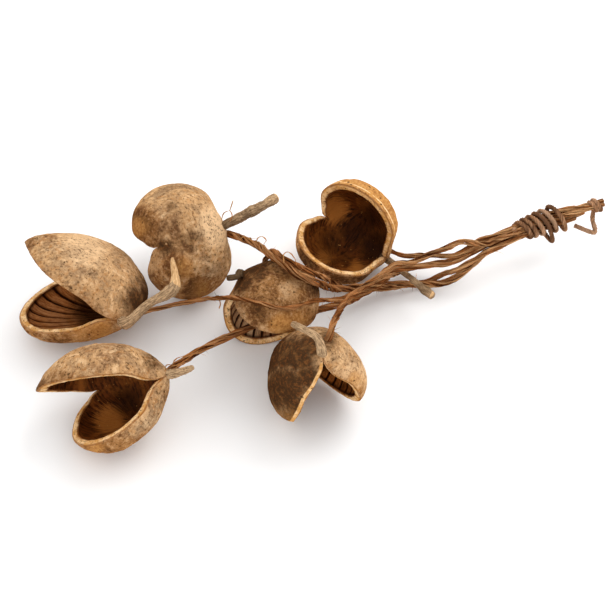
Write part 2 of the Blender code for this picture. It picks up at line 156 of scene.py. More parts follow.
# Marks as the camera sees them, each a round spot: across, up and radius in millimetres on the plane through
# the layout's middle that is square to the view. The first table below then gives how rusty and how dark a
# spot of the outer skin is, the darkness partly dark stain and partly painted shade on sides, creases and
# lower parts turned from the light, and below 0 how pale it is, partly from wear and partly a painted
# highlight where the light falls. HONEY gives how golden a spot is. HOLLOW_SHADES gives how much painted
# shade darkens a spot inside a pod, and below 0 how much painted light brightens it.
STAINS_SHADES_AND_HIGHLIGHTS = {
    "pod_a": ((-187, 47, 24, 0.0, -0.7), (-205, 35, 14, 0.0, -0.4), (-234, -21, 14, 0.9, 0.35),
              (-208, -32, 15, 0.9, 0.4), (-178, -25, 14, 0.9, 0.1), (-140, 4, 18, 0.3, 0.85),
              (-132, 23, 12, 0.2, 0.7), (-235, 53, 8, 0.4, 0.3), (-218, 62, 10, 0.35, 0.1),
              (-164, -11, 8, 0.6, 0.2), (-198, 37, 14, 0.15, 0.2)),
    "pod_b": ((-132, -98, 16, 0.0, -0.5), (-166, -47, 14, 0.0, -0.3), (-178, -62, 40, 0.3, 0.2),
              (-208, -64, 15, 0.6, 0.45), (-225, -71, 10, 0.5, 0.5), (-164, -120, 18, 0.8, 0.4),
              (-178, -123, 14, 0.8, 0.3), (-149, -119, 10, 0.5, 0.2), (-130, -48, 10, 0.2, 0.6),
              (-191, -115, 10, 0.7, 0.2), (-116, -76, 8, 0.3, 0.3)),
    "pod_c": ((-74, 68, 20, 0.0, -1.0), (-116, 50, 36, 0.4, 0.4), (-142, 68, 20, 1.0, 0.65),
              (-130, 53, 12, 0.7, 0.5), (-120, 50, 9, 0.4, 0.9), (-110, 30, 17, 1.0, 0.6),
              (-94, 11, 17, 0.95, 0.6), (-123, 21, 11, 0.8, 0.3), (-98, 54, 15, 0.2, 0.55),
              (-113, 85, 9, 0.1, 0.5), (-76, 17, 10, 0.6, 0.2)),
    "pod_d": ((36, 60, 60, 0.75, 0.0), (34, 21, 26, 0.7, 0.45), (4, 40, 12, 0.5, 0.7),
              (72, 89, 26, 0.9, 0.0), (51, 19, 12, 0.4, 0.6), (79, 55, 12, 0.9, 0.1)),
    "pod_e": ((-13, 13, 11, 0.6, -0.8), (-22, 16, 44, 0.7, 0.5), (-46, 38, 20, 0.1, 1.0),
              (-40, 29, 14, 0.4, 0.8), (-26, 43, 16, 0.0, 0.8), (-55, 22, 14, 0.1, 1.0),
              (12, 18, 14, 0.3, 0.8), (-13, -11, 14, 1.0, 0.0), (-22, -18, 14, 1.0, 0.2),
              (-38, -6, 15, 0.8, 0.6), (5, -11, 13, 0.8, 0.5), (0, 36, 12, 0.1, 0.8)),
    "pod_f": ((-38, -44, 26, 0.5, 1.0), (-20, -40, 20, 0.3, 1.0), (-17, -70, 24, 0.5, 1.0),
              (-6, -90, 18, 0.5, 0.9), (-30, -28, 16, 0.6, 1.0), (18, -30, 12, 0.1, 0.7),
              (4, -34, 14, 0.3, 0.95), (40, -68, 20, 0.45, 0.15), (48, -76, 12, 0.6, 0.1),
              (62, -60, 8, 0.3, 0.4), (0, -60, 14, 0.3, 1.0), (-10, -40, 18, 0.3, 1.0),
              (-4, -48, 14, 0.3, 1.0), (42, -60, 14, 0.0, -0.8), (34, -43, 10, 0.0, -0.4)),
}
HONEY = {
    "pod_a": ((-190, -22, 13, 0.7), (-174, -22, 12, 1.0)),
    "pod_b": ((-178, -123, 10, 0.7), (-150, -120, 10, 0.4)),
    "pod_c": ((-102, 30, 11, 0.6), (-143, 66, 11, 0.7), (-88, 12, 12, 0.5)),
    "pod_d": ((62, 100, 26, 1.0), (84, 72, 18, 1.0), (34, 104, 18, 0.9), (80, 50, 12, 0.7)),
    "pod_e": ((-20, -18, 13, 0.9), (-4, -12, 10, 0.6), (-14, 12, 14, 0.4)),
    "pod_f": ((44, -66, 13, 0.5), (-12, -94, 10, 0.4)),
}
HOLLOW_SHADES = {
    "pod_a": ((-178, -4, 24, 1.0), (-200, -14, 10, 0.4), (-225, -6, 12, -0.5)),
    "pod_b": ((-150, -82, 16, 0.8), (-208, -67, 8, 0.5), (-166, -98, 15, -1.0)),
    "pod_c": (),
    "pod_d": ((42, 62, 18, 0.8), (60, 50, 18, 0.95), (54, 72, 16, 0.8), (24, 54, 15, 0.6),
              (34, 44, 12, 0.5), (25, 81, 14, -1.0), (16, 40, 10, -0.6), (44, 30, 9, -0.8),
              (75, 60, 6, -0.6)),
    "pod_e": ((-37, -21, 8, 0.3),),
    "pod_f": ((17, -48, 10, 0.8), (34, -68, 7, 0.5)),
}
SPOT_CORE, SPOT_REACH = 0.15, 1.3    # full part of a spot, and how far it fades out, as shares of its radius
PALE_SLATS = {"pod_a": 0.20, "pod_e": 1.3, "pod_f": 0.05}    # how pale the slats are
VIEW_DISTANCE, VIEW_ELEVATION = 1224.2, math.radians(50.0)

# Layout points that each stem runs through, the angle round the handle's axis where it lies there, how far
# along the handle it ends, how many bark strips it has and how far they stand from its middle.
ROUTES = {
    "stem_a": (((-125, -32, 32), (-85, -33, 46), (-60, -58, 78), (-47, -69, 89), (-35, -75, 92),
                (-23, -78, 90), (-12, -75, 86), (0, -68, 82), (10, -58, 75), (28, -37, 52), (47, -19, 44),
                (66, 2, 38), (90, 13, 33), (122, 21, 29)), None, 131, 6, 1.2),
    "stem_b": (((-82, -88, 50), (-51, -71, 52), (-34, -61, 50), (-4, -49, 46), (14, -40, 43),
                (33, -29, 38), (50, -14, 33), (64, 4, 25), (78, 27, 11), (92, 35, 9), (124, 32, 20)),
               316, 106, 11, 2.2),
    "stem_c": (((-42, 2, 76), (-31, -25, 96), (-24, -32, 96), (-16, -38, 95), (-8, -45, 92),
                (1, -46, 87), (9, -45, 81), (24, -23, 48), (39, -12, 36), (62, 8, 16), (81, 12, 13),
                (106, 15, 10), (119, 15, 12), (134, 22, 16)), 244, 112, 12, 2.3),
    "stem_d": (((85, 41, 17), (102, 31, 29), (119, 21, 39), (129, 22, 41)), 28, 131, 7, 1.5),
    "stem_e": (((-26, -18, 88), (-18, -29, 93), (-11, -33, 92), (-2, -36, 88), (6, -39, 86),
                (14, -33, 74), (25, -11, 40), (39, -2, 22), (62, 11, 8), (81, 16, 6), (104, 21, 7),
                (118, 21, 16), (129, 17, 27)), 172, 102, 8, 1.6),
    "stem_f": (((20, -105, 98), (25, -80, 84), (31, -57, 70), (42, -35, 58), (58, -14, 50), (75, 5, 46),
                (91, 10, 44), (106, 17, 47), (119, 19, 52), (131, 27, 50)), 100, 130, 9, 1.9),
}
HANDLE = ((139, 28, 34), (166, 43, 35), (201, 60, 37), (233, 72, 39), (258, 81, 41))

# Stalks: how deep they start inside the neck, radii from there to the end, the share of the length where bare
# wood starts, and how dark the bark is at the neck and at the end.
STALKS = {
    "pod_a": (9.0, (0.4, 3.0, 4.6, 4.6, 4.2, 3.8, 3.5, 3.4, 4.0, 5.0, 4.2, 2.7, 2.4, 1.6), 0.74, 0.1, 0.2),
    "pod_b": (9.0, (0.4, 2.8, 3.8, 3.8, 3.4, 3.0, 2.6, 2.0), 1.2, 0.1, 0.0),
    "pod_c": (9.0, (2.2, 3.3, 3.7, 4.3, 4.6, 4.3, 5.0, 4.2, 3.7, 4.8, 3.9), 0.97, 1.0, 0.1),
    "pod_d": (4.5, (2.0, 3.4, 2.9, 2.6, 2.5, 2.4, 2.5, 2.6, 3.0, 4.1, 3.3), 0.97, 0.6, 0.5),
    "pod_e": (9.0, (2.0, 3.6, 3.2, 2.8, 2.6, 2.4), 1.2, 1.0, 1.0),
    "pod_f": (9.0, (0.4, 2.6, 3.6, 3.2, 2.8, 2.6, 2.7, 2.3), 1.2, 0.1, 0.0),
}

# Turns of the binding and of the end tie: how far along the handle each crosses its top edge and its bottom
# edge, and its distance from the handle's axis. The binding's ends are given by distance along the handle,
# angle round it and distance from its axis. The hook follows layout points.
BINDING = ((51, 58, 7.8), (56, 63, 8.6), (62, 70, 9.0), (68, 76, 9.8), (74, 82, 10.2), (82, 90, 11.4))
LOW_LOOP = (3, 17.5)    # turn that hangs in a loose loop below the handle, and how far from the axis
BINDING_ENDS = ((44, 100, 6.4), (48, -10, 7.4)), ((90, 300, 9.6), (86, 345, 7.6), (82, 380, 6.0))
TIE = ((118, 123, 4.4), (122, 126, 5.0))
HOOK = ((251, 79, 36), (249, 72, 30), (251, 64, 25), (248, 62, 24), (234, 70, 24))

# Curls of loose bark: points across and up on the plane square to the view, and their height above the
# surface.
CURLS = (
    ((-42, 51, 82), (-40, 57, 88), (-36, 58, 90), (-33, 55, 90), (-35, 52, 88)),
    ((-18, 36, 98), (-18, 43, 101), (-14, 45, 102), (-9, 40, 102), (-7, 34, 99)),
    ((-71, 72, 66), (-69, 78, 74), (-64, 80, 76), (-62, 76, 74), (-64, 71, 70)),
    ((-64, 80, 70), (-62, 86, 76), (-61, 89, 78)),
    ((-56, 55, 74), (-52, 58, 80), (-47, 56, 82), (-44, 52, 82)),
    ((-73, 5, 60), (-72, 1, 56), (-73, -3, 52)),
    ((-113, -52, 58), (-110, -46, 64), (-102, -43, 66), (-94, -39, 66), (-86, -34, 62)),
    ((-121, -56, 58), (-117, -51, 64), (-108, -51, 66), (-99, -45, 66), (-91, -39, 62)),
)


# Small rules for curves and surfaces

# Large numbers that scatter a place and a seed into a random value
SCATTER_CELL = np.array([374761393, 668265263, 1440662683])
SCATTER_SEED, SCATTER_AGAIN = 974634777, 1274126177


def ease(t):
    """Smooth step from 0 to 1."""
    t = np.clip(t, 0.0, 1.0)
    return t * t * (3.0 - 2.0 * t)


def bell(offset, width):
    """Rounded peak of this half width about an angle."""
    away = np.hypot(((offset + 180.0) % 360.0 - 180.0) / width, BELL_ROUND) - 0.5 * BELL_ROUND
    return np.clip(1.0 - away, 0.0, None) ** 2


def unit(vectors):
    """Vectors with a length of one."""
    return vectors / np.linalg.norm(vectors, axis=-1, keepdims=True)


def lumps(points, seed):
    """Low waves in seeded directions, from -1 to 1, that make a grown surface uneven."""
    draw = np.random.default_rng(seed)
    total = np.zeros(len(points))
    for _ in range(LUMP_WAVES):
        direction = unit(draw.normal(size=3))
        wave = 2.0 * math.pi / (LUMP_SIZE * draw.uniform(0.7, 1.6))
        total += np.sin(points @ direction * wave + draw.uniform(0.0, 2.0 * math.pi))
    return total / LUMP_WAVES


def grain(points, size, seed):
    """Smooth random field, from -1 to 1, whose bumps are about this size."""
    scaled = points / size + 1000.0
    cell = np.floor(scaled).astype(np.int64)
    t = ease(scaled - cell)
    total = np.zeros(len(points))
    for corner in np.ndindex(2, 2, 2):
        h = ((cell + corner) @ SCATTER_CELL + seed * SCATTER_SEED) & 0xFFFFFFFF
        h = ((h ^ (h >> 13)) * SCATTER_AGAIN) & 0xFFFFFFFF
        value = ((h ^ (h >> 16)) & 0xFFFF) / 32767.5 - 1.0
        total += value * np.prod(np.where(corner, t, 1.0 - t), axis=1)
    return total


def relief(points, bumps, seed):
    """Sum of smooth random fields, each given by its height and the size of its bumps."""
    return sum(height * grain(points, size, seed + n) for n, (height, size) in enumerate(bumps))


def seen(points):
    """Where layout points show on the plane square to the view through the layout's middle."""
    back, up = math.cos(VIEW_ELEVATION), math.sin(VIEW_ELEVATION)
    nearer = points[:, 2] * up - points[:, 1] * back
    flat = np.stack([points[:, 0], points[:, 1] * up + points[:, 2] * back], 1)
    return flat * (VIEW_DISTANCE / (VIEW_DISTANCE - nearer))[:, None]


def patches(points, spots, count=1):
    """How much round spots mark each layout point: a row for each value, then one for the last below 0."""
    marks = np.zeros((count + 1, len(points)))
    place = seen(points)
    for across, up, radius, *values in spots:
        away = np.linalg.norm(place - (across, up), axis=1) / (SPOT_REACH * radius)
        near = ease(1.0 + SPOT_CORE - away)
        for row, value in enumerate((*values, -values[-1])):
            marks[row] = np.maximum(marks[row], value * near)
    return marks


def placed(across, up, height):
    """Layout point at this height that shows at this place on the plane square to the view."""
    back, rise = math.cos(VIEW_ELEVATION), math.sin(VIEW_ELEVATION)
    y = up * (VIEW_DISTANCE - height * rise) - VIEW_DISTANCE * height * back
    y /= VIEW_DISTANCE * rise - up * back
    grow = VIEW_DISTANCE / (VIEW_DISTANCE - height * rise + y * back)
    return across / grow, y, height


def smooth_path(points, spacing):
    """Points at even spacing along a smooth curve through the given ones."""
    points = np.asarray(points, float)
    knots = np.concatenate([[2 * points[0] - points[1]], points, [2 * points[-1] - points[-2]]])
    t = np.linspace(0.0, 1.0, CURVE_STEPS, endpoint=False)[:, None]
    dense = []
    for a, b, c, d in zip(knots, knots[1:], knots[2:], knots[3:]):
        dense.append(0.5 * (2 * b + (c - a) * t + (2 * a - 5 * b + 4 * c - d) * t**2
                            + (3 * b - a - 3 * c + d) * t**3))
    dense = np.concatenate(dense + [points[-1:]])
    run = distances(dense)
    marks = np.linspace(0.0, run[-1], max(2, round(run[-1] / spacing)) + 1)
    return np.stack([np.interp(marks, run, dense[:, axis]) for axis in range(3)], 1)


def distances(path):
    """Distance along a path at each of its points."""
    return np.concatenate([[0.0], np.cumsum(np.linalg.norm(np.diff(path, axis=0), axis=1))])


def cross_axes(path):
    """Two directions square to the path at each of its points, carried along without twist."""
    tangents = unit(np.gradient(path, axis=0))
    side = np.cross(tangents[0], [0.0, 0.0, 1.0] if abs(tangents[0][2]) < 0.9 else [0.0, 1.0, 0.0])
    first = []
    for tangent in tangents:
        side = unit(side - tangent * (side @ tangent))
        first.append(side)
    first = np.array(first)
    return first, np.cross(tangents, first)


def grid_faces(rows, columns):
    """Quads of a grid whose columns close into a ring."""
    faces = []
    for row in range(rows - 1):
        for n in range(columns):
            m = (n + 1) % columns
            faces.append((row * columns + n, row * columns + m, (row + 1) * columns + m,
                          (row + 1) * columns + n))
    return faces


def mesh_piece(name, points, faces, looks, zones=None, fields=None):
    """Mesh object from layout points, with a material for each zone and a named value for each point."""
    mesh = bpy.data.meshes.new(name)
    mesh.from_pydata(((np.asarray(points) - ORIGIN) * MM).tolist(), [], faces)
    for look in looks:
        mesh.materials.append(look)
    if zones is not None:
        mesh.polygons.foreach_set("material_index", np.asarray(zones, np.int32))
    for field, values in (fields or {}).items():
        values = np.asarray(values, np.float32)
        made = mesh.attributes.new(field, "FLOAT" if values.ndim == 1 else "FLOAT_VECTOR", "POINT")
        made.data.foreach_set("value" if values.ndim == 1 else "vector", values.ravel())
    shape = bmesh.new()
    shape.from_mesh(mesh)
    bmesh.ops.recalc_face_normals(shape, faces=shape.faces)
    shape.to_mesh(mesh)
    shape.free()
    mesh.shade_smooth()
    piece = bpy.data.objects.new(name, mesh)
    bpy.context.scene.collection.objects.link(piece)
    return piece


# Trees of nodes

class Tree:
    """Lays out the nodes of a shader or geometry tree."""

    ROW, ACROSS, DOWN = 12, 220, 260    # nodes in a row, and the space between them

    def __init__(self, tree):
        self.tree = tree

    def node(self, kind, inputs=None, **settings):
        """New node with these settings, and its inputs set or linked by name or place."""
        made = self.tree.nodes.new(kind)
        row, place = divmod(len(self.tree.nodes), self.ROW)
        made.location = (self.ACROSS * place, -self.DOWN * row)
        for name, value in settings.items():
            setattr(made, name, value)
        for key, value in (inputs or {}).items():
            self.feed(made.inputs[key], value)
        return made

    def feed(self, socket, value):
        """Sets or links one input."""
        if isinstance(value, bpy.types.NodeSocket):
            self.tree.links.new(value, socket)
        else:
            socket.default_value = value

    def math(self, operation, *values):
        return self.node("ShaderNodeMath", dict(enumerate(values)), operation=operation).outputs[0]

    def vector(self, operation, *values):
        made = self.node("ShaderNodeVectorMath", dict(enumerate(values)), operation=operation)
        return made.outputs["Vector"]

    def scaled(self, vector, factor):
        """Vector made longer or shorter."""
        made = self.node("ShaderNodeVectorMath", {0: vector, "Scale": factor}, operation="SCALE")
        return made.outputs["Vector"]

    def noise(self, where, scale, detail=3.0, roughness=0.5, distortion=0.0):
        return self.node("ShaderNodeTexNoise", {"Vector": where, "Scale": scale, "Detail": detail,
                                                "Roughness": roughness, "Distortion": distortion}).outputs[0]

    def between(self, value, low, high, to_low=0.0, to_high=1.0):
        """Value moved from one range to another, and kept inside it."""
        return self.node("ShaderNodeMapRange", {0: value, 1: low, 2: high, 3: to_low, 4: to_high},
                         interpolation_type="SMOOTHSTEP").outputs[0]

    def ragged(self, value, field, amount):
        """Value whose edges are broken up by a noise field."""
        return self.math("ADD", value, self.math("MULTIPLY", self.math("SUBTRACT", field, 0.5), amount))

    def store(self, geometry, name, value, kind="FLOAT", domain="POINT"):
        """Keeps a named value on the geometry's points or curves."""
        inputs = {"Geometry": geometry, "Name": name, "Value": value}
        return self.node("GeometryNodeStoreNamedAttribute", inputs, data_type=kind, domain=domain).outputs[0]

    def stored(self, name, kind="FLOAT"):
        """Named value that was kept on the geometry."""
        return self.node("GeometryNodeInputNamedAttribute", {"Name": name}, data_type=kind).outputs[0]


class Look(Tree):
    """Material whose Principled shader is fed by procedural nodes on Object coordinates."""

    def __init__(self, name, colours):
        self.material = bpy.data.materials.new(name)
        self.material.use_nodes = True
        super().__init__(self.material.node_tree)
        self.colours = colours
        self.shader = self.tree.nodes["Principled BSDF"]
        self.place = self.node("ShaderNodeTexCoord").outputs["Object"]

    def value(self, name):
        """Named value of the mesh's points."""
        return self.node("ShaderNodeAttribute", attribute_name=name).outputs["Fac"]

    def along(self, name, scale):
        """Named direction of the mesh's points, scaled along each axis."""
        where = self.node("ShaderNodeAttribute", attribute_name=name).outputs["Vector"]
        return self.node("ShaderNodeMapping", {"Vector": where, "Scale": scale}).outputs[0]

    def mix(self, share, first, second):
        """Mix of two colours, each one a socket or the name of a colour setting."""
        made = self.node("ShaderNodeMix", data_type="RGBA")
        for key, value in ((0, share), (6, first), (7, second)):
            if isinstance(value, str):
                value = (*getattr(self.colours, value), 1.0)
            self.feed(made.inputs[key], value)
        return made.outputs[2]

    def over(self, colour, field, low, high, amount, paint):
        """Colour under a paint, from none where the field is low to this amount where it is high."""
        return self.mix(self.between(field, low, high, 0.0, amount), colour, paint)

    def by_rim(self, low, high, amount):
        """This amount by a pod's split edge, down to none between two shares of the way to its crown."""
        near = self.between(self.value("rise"), low, high, amount, 0.0)
        return self.math("MULTIPLY", near, self.value("edge"))

    def bump(self, height, distance, strength=1.0, below=None):
        """Normal raised by a height from 0 to 1, over this distance in metres."""
        inputs = {"Height": height, "Distance": distance, "Strength": strength}
        if below is not None:
            inputs["Normal"] = below
        return self.node("ShaderNodeBump", inputs).outputs[0]

    def finish(self, colour, roughness, normal, gloss=0.0):
        """Feeds the shader and returns the material."""
        self.feed(self.shader.inputs["Base Color"], colour)
        self.feed(self.shader.inputs["Specular IOR Level"], gloss)
        self.feed(self.shader.inputs["Roughness"], roughness)
        self.feed(self.shader.inputs["Normal"], normal)
        return self.material


def skin_look(colours):
    """Outer skin: mottled tan with grey and rusty patches, dark pits, pale scuffs and fine wrinkles.

    The rusty and dark patches are partly painted shade, on undersides and on sides turned from the light, and
    the pale scuffs are partly painted highlights where the light falls.
    """
    look = Look("pod_skin", colours)
    broad = look.noise(look.place, 28.0, 4.0, 0.6, 0.5)
    cloud = look.noise(look.place, 100.0, 5.0, 0.65, 0.6)
    mottle = look.noise(look.place, 190.0, 4.0, 0.65)
    fine = look.noise(look.place, 400.0, 5.0, 0.72)
    streak = look.noise(look.along("fan", (8.0, 8.0, 2.4)), 2.0, 5.0, 0.65, 0.4)
    wander = look.math("SUBTRACT", look.math("MULTIPLY", look.math("ADD", broad, cloud), 1.2), 1.2)

    def mark(name, amount):
        """Named value whose edges wander with the clouds."""
        return look.math("ADD", look.value(name), look.math("MULTIPLY", wander, amount))

    colour = look.over("skin_tan", broad, 0.47, 0.64, 0.7, "skin_grey")
    colour = look.over(colour, cloud, 0.46, 0.64, 0.6, "skin_grey")
    colour = look.over(colour, cloud, 0.47, 0.33, 0.6, "skin_pale")
    colour = look.over(colour, mottle, 0.50, 0.66, 0.55, "skin_amber")
    # Rusty colour: stains, plus warm painted shade on the undersides that face the floor
    rust = look.between(mark("rust", 0.75), 0.10, 0.85)
    rust = look.math("MAXIMUM", rust, look.math("MULTIPLY", look.by_rim(0.0, 0.16, 0.7), cloud))
    rusty = look.over("skin_amber", cloud, 0.42, 0.62, 1.0, "skin_rust")
    rusty = look.over(rusty, fine, 0.50, 0.36, 0.6, "skin_tan")
    colour = look.mix(look.math("MULTIPLY", rust, 0.9), colour, rusty)
    colour = look.over(colour, fine, 0.47, 0.30, 0.6, "skin_pale")
    # Pale spots: partly from wear and partly painted highlights where the light falls
    colour = look.over(colour, mark("worn_and_lit", -0.6), 0.10, 0.90, 0.8, "skin_pale")
    # Dark patches: partly dark stain and partly painted shade on sides, creases and undersides turned from
    # the light
    dark_stain_and_shade = look.over("skin_umber", fine, 0.54, 0.34, 0.6, "skin_rust")
    dark_stain_and_shade = look.over(dark_stain_and_shade, cloud, 0.50, 0.36, 0.15, "skin_amber")
    colour = look.over(colour, mark("shade", 0.4), 0.06, 0.85, 0.97, dark_stain_and_shade)
    colour = look.over(colour, streak, 0.52, 0.70, 0.45, "skin_dark")
    colour = look.over(colour, fine, 0.52, 0.66, 0.85, "skin_dark")
    golden = look.over("rim_honey", fine, 0.42, 0.58, 1.0, "skin_amber")
    colour = look.over(colour, mark("honey", 0.6), 0.10, 0.95, 0.85, golden)
    wood = look.over("rim_pale", cloud, 0.38, 0.60, 1.0, "rim_honey")
    colour = look.over(colour, look.ragged(look.value("bared"), fine, 0.8), 0.35, 0.60, 1.0, wood)
    golden_pits = look.math("MULTIPLY", look.value("honey"), 0.055)
    pit = look.between(look.math("ADD", look.noise(look.place, 300.0, 2.0, 0.5), golden_pits), 0.69, 0.73)
    colour = look.mix(look.math("MULTIPLY", pit, 0.85), colour, "skin_dark")
    normal = look.bump(look.noise(look.place, 120.0, 6.0, 0.65, 1.4), 0.0018, 0.9)
    normal = look.bump(fine, 0.0008, -0.9, normal)
    normal = look.bump(streak, 0.0006, -0.6, normal)
    normal = look.bump(pit, 0.0007, -0.8, normal)
    return look.finish(colour, look.between(cloud, 0.3, 0.7, 0.55, 0.75), normal)


def rim_look(colours):
    """Split edge: pale honey wood with dark pores, rusty scars and a dark line at its inner side."""
    look = Look("pod_rim", colours)
    cloud = look.noise(look.place, 110.0, 5.0, 0.65)
    fine = look.noise(look.place, 480.0, 4.0, 0.65)
    pore = look.between(look.noise(look.place, 560.0, 2.0, 0.55), 0.62, 0.68)
    scar = look.noise(look.place, 48.0, 4.0, 0.65)
    across = look.ragged(look.value("across"), cloud, 0.5)
    colour = look.over("rim_pale", cloud, 0.40, 0.62, 1.0, "rim_honey")
    colour = look.over(colour, scar, 0.52, 0.68, 0.75, "skin_amber")
    colour = look.mix(look.math("MULTIPLY", look.value("honey"), 0.55), colour, "rim_honey")
    colour = look.over(colour, fine, 0.52, 0.68, 0.6, "skin_rust")
    colour = look.over(colour, across, 0.30, 0.10, 0.75, "skin_rust")
    colour = look.over(colour, across, 0.74, 0.92, 0.9, "hollow_brown")
    colour = look.mix(look.math("MULTIPLY", pore, 0.85), colour, "hollow_dark")
    normal = look.bump(fine, 0.0008, 0.7)
    normal = look.bump(pore, 0.0005, -0.7, normal)
    return look.finish(colour, 0.62, normal)


def fan_streaks(look, fineness, length):
    """Streaks that fan out from a pod's crown to its rim."""
    return look.noise(look.along("fan", (fineness, fineness, length)), 2.0, 5.0, 0.62, 0.4)


def hollow_look(colours):
    """Inside of a smooth pod: half glossy red-brown, dark streaks and amber patches, black by the edge.

    Spots of painted shade darken it where it lies deep, and spots of painted light brighten its open parts.
    """
    look = Look("pod_hollow", colours)
    streak = fan_streaks(look, 10.0, 2.0)
    cloud = look.noise(look.place, 48.0, 5.0, 0.62, 0.6)
    fine = look.noise(look.place, 260.0, 5.0, 0.65)
    colour = look.over("hollow_brown", streak, 0.40, 0.66, 1.0, "hollow_dark")
    colour = look.over(colour, cloud, 0.44, 0.68, 0.65, "hollow_amber")
    colour = look.over(colour, fine, 0.50, 0.68, 0.6, "hollow_dark")
    # Painted light on the open parts of the hollow
    colour = look.over(colour, look.ragged(look.value("painted_light"), streak, -1.6), 0.2, 0.9, 0.75, "hollow_painted_light")
    # Painted shade where the hollow lies deep
    colour = look.over(colour, look.ragged(look.value("dim"), cloud, 0.6), 0.0, 1.0, 0.92, "hollow_dark")
    colour = look.mix(look.by_rim(0.0, 0.05, 0.85), colour, "hollow_dark")
    fleck = look.noise(look.place, 330.0, 2.0, 0.5)
    colour = look.over(colour, fleck, 0.70, 0.74, 0.5, "rim_honey")
    normal = look.bump(streak, 0.0014, 0.5)
    normal = look.bump(fine, 0.0006, 0.6, normal)
    return look.finish(colour, look.between(cloud, 0.3, 0.7, 0.42, 0.6), normal, 0.03)


def ribbed_look(colours):
    """Inside of a ribbed pod: slats with dark gaps between them, and painted shade where it lies deep."""
    look = Look("pod_ribs", colours)
    rib = look.ragged(look.value("rib"), look.noise(look.place, 90.0, 4.0, 0.65), 0.7)
    cloud = look.noise(look.place, 60.0, 4.0, 0.6, 0.4)
    streak = fan_streaks(look, 34.0, 4.0)
    pale = look.value("pale")
    slat = look.mix(pale, "hollow_amber", "slat_pale")
    slat = look.over(slat, cloud, 0.42, 0.66, 0.5, "hollow_amber")
    lines = look.between(streak, 0.44, 0.62, 0.0, 0.75)
    lines = look.math("MULTIPLY", lines, look.between(pale, 0.2, 0.9, 1.0, 0.4))
    slat = look.mix(lines, slat, "hollow_brown")
    slat = look.over(slat, rib, 1.05, 0.70, 0.7, "hollow_brown")
    colour = look.over("hollow_dark", rib, 0.15, 0.75, 1.0, slat)
    # Painted shade where the hollow lies deep
    dim = look.ragged(look.ragged(look.value("dim"), streak, 1.6), cloud, 0.4)
    colour = look.over(colour, dim, 0.05, 1.0, 0.96, "hollow_dark")
    colour = look.mix(look.by_rim(0.03, 0.12, 0.85), colour, "hollow_dark")
    normal = look.bump(streak, 0.0010, 0.6)
    normal = look.bump(look.noise(look.place, 320.0, 4.0, 0.6), 0.0005, 0.6, normal)
    return look.finish(colour, look.between(cloud, 0.3, 0.7, 0.45, 0.62), normal)


def stalk_look(colours):
    """Stalk: grey-tan bark with fine lengthwise lines and ring wrinkles, and bare wood where it broke."""
    look = Look("stalk_bark", colours)
    lines = look.noise(look.along("bark", (2.6, 2.6, 0.10)), 2.0, 6.0, 0.68, 0.2)
    rings = look.noise(look.along("bark", (0.5, 0.5, 1.1)), 1.0, 4.0, 0.6, 0.3)
    speck = look.noise(look.place, 520.0, 3.0, 0.6)
    colour = look.over("skin_pale", lines, 0.38, 0.62, 1.0, "skin_grey")
    colour = look.over(colour, rings, 0.52, 0.70, 0.35, "skin_dark")
    colour = look.over(colour, speck, 0.56, 0.70, 0.35, "skin_dark")
    colour = look.mix(look.math("MULTIPLY", look.value("shade"), 0.85), colour, "skin_umber")
    wood = look.over("rim_pale", lines, 0.40, 0.66, 1.0, "skin_amber")
    colour = look.over(colour, look.value("bare"), 0.3, 0.7, 1.0, wood)
    normal = look.bump(lines, 0.0012, 0.8)
    normal = look.bump(rings, 0.0020, 0.9, normal)
    return look.finish(colour, 0.74, normal)


def bark_look(name, colours, dark, rust, pale, pale_by_pods=0.8):
    """Fibrous bark: streaks along each strip, each strip of its own shade, and paler towards the handle."""
    look = Look(name, colours)
    streak = look.noise(look.along("fibre", (28.0, 9.0, 7.3)), 1.6, 6.0, 0.65, 0.3)
    fine = look.noise(look.along("fibre", (90.0, 30.0, 5.1)), 1.5, 4.0, 0.6)
    shade = look.noise(look.along("fibre", (14.0, 0.4, 3.7)), 1.0, 2.0, 0.5)
    across = look.node("ShaderNodeSeparateXYZ", {0: look.place}).outputs["X"]
    by_handle = look.between(across, 0.02, 0.14, pale_by_pods, 0.85)
    colour = look.over(dark, streak, 0.36, 0.57, 1.0, rust)
    colour = look.mix(look.math("MULTIPLY", look.between(shade, 0.44, 0.62), by_handle), colour, pale)
    colour = look.over(colour, shade, 0.49, 0.36, 0.8, dark)
    colour = look.over(colour, fine, 0.52, 0.66, 0.7, dark)
    normal = look.bump(streak, 0.0016, 1.0)
    normal = look.bump(fine, 0.0007, 0.8, normal)
    return look.finish(colour, 0.78, normal)


# Pods

def turned(pod):
    """Matrix that turns a pod's own directions to the layout's."""
    az, pitch, roll = (math.radians(v) for v in (pod.azimuth, pod.pitch, pod.roll))
    about_z = np.array([[math.cos(az), -math.sin(az), 0], [math.sin(az), math.cos(az), 0], [0, 0, 1]])
    about_y = np.array([[math.cos(pitch), 0, -math.sin(pitch)], [0, 1, 0],
                        [math.sin(pitch), 0, math.cos(pitch)]])
    about_x = np.array([[1, 0, 0], [0, math.cos(roll), -math.sin(roll)],
                        [0, math.sin(roll), math.cos(roll)]])
    return about_z @ about_y @ about_x


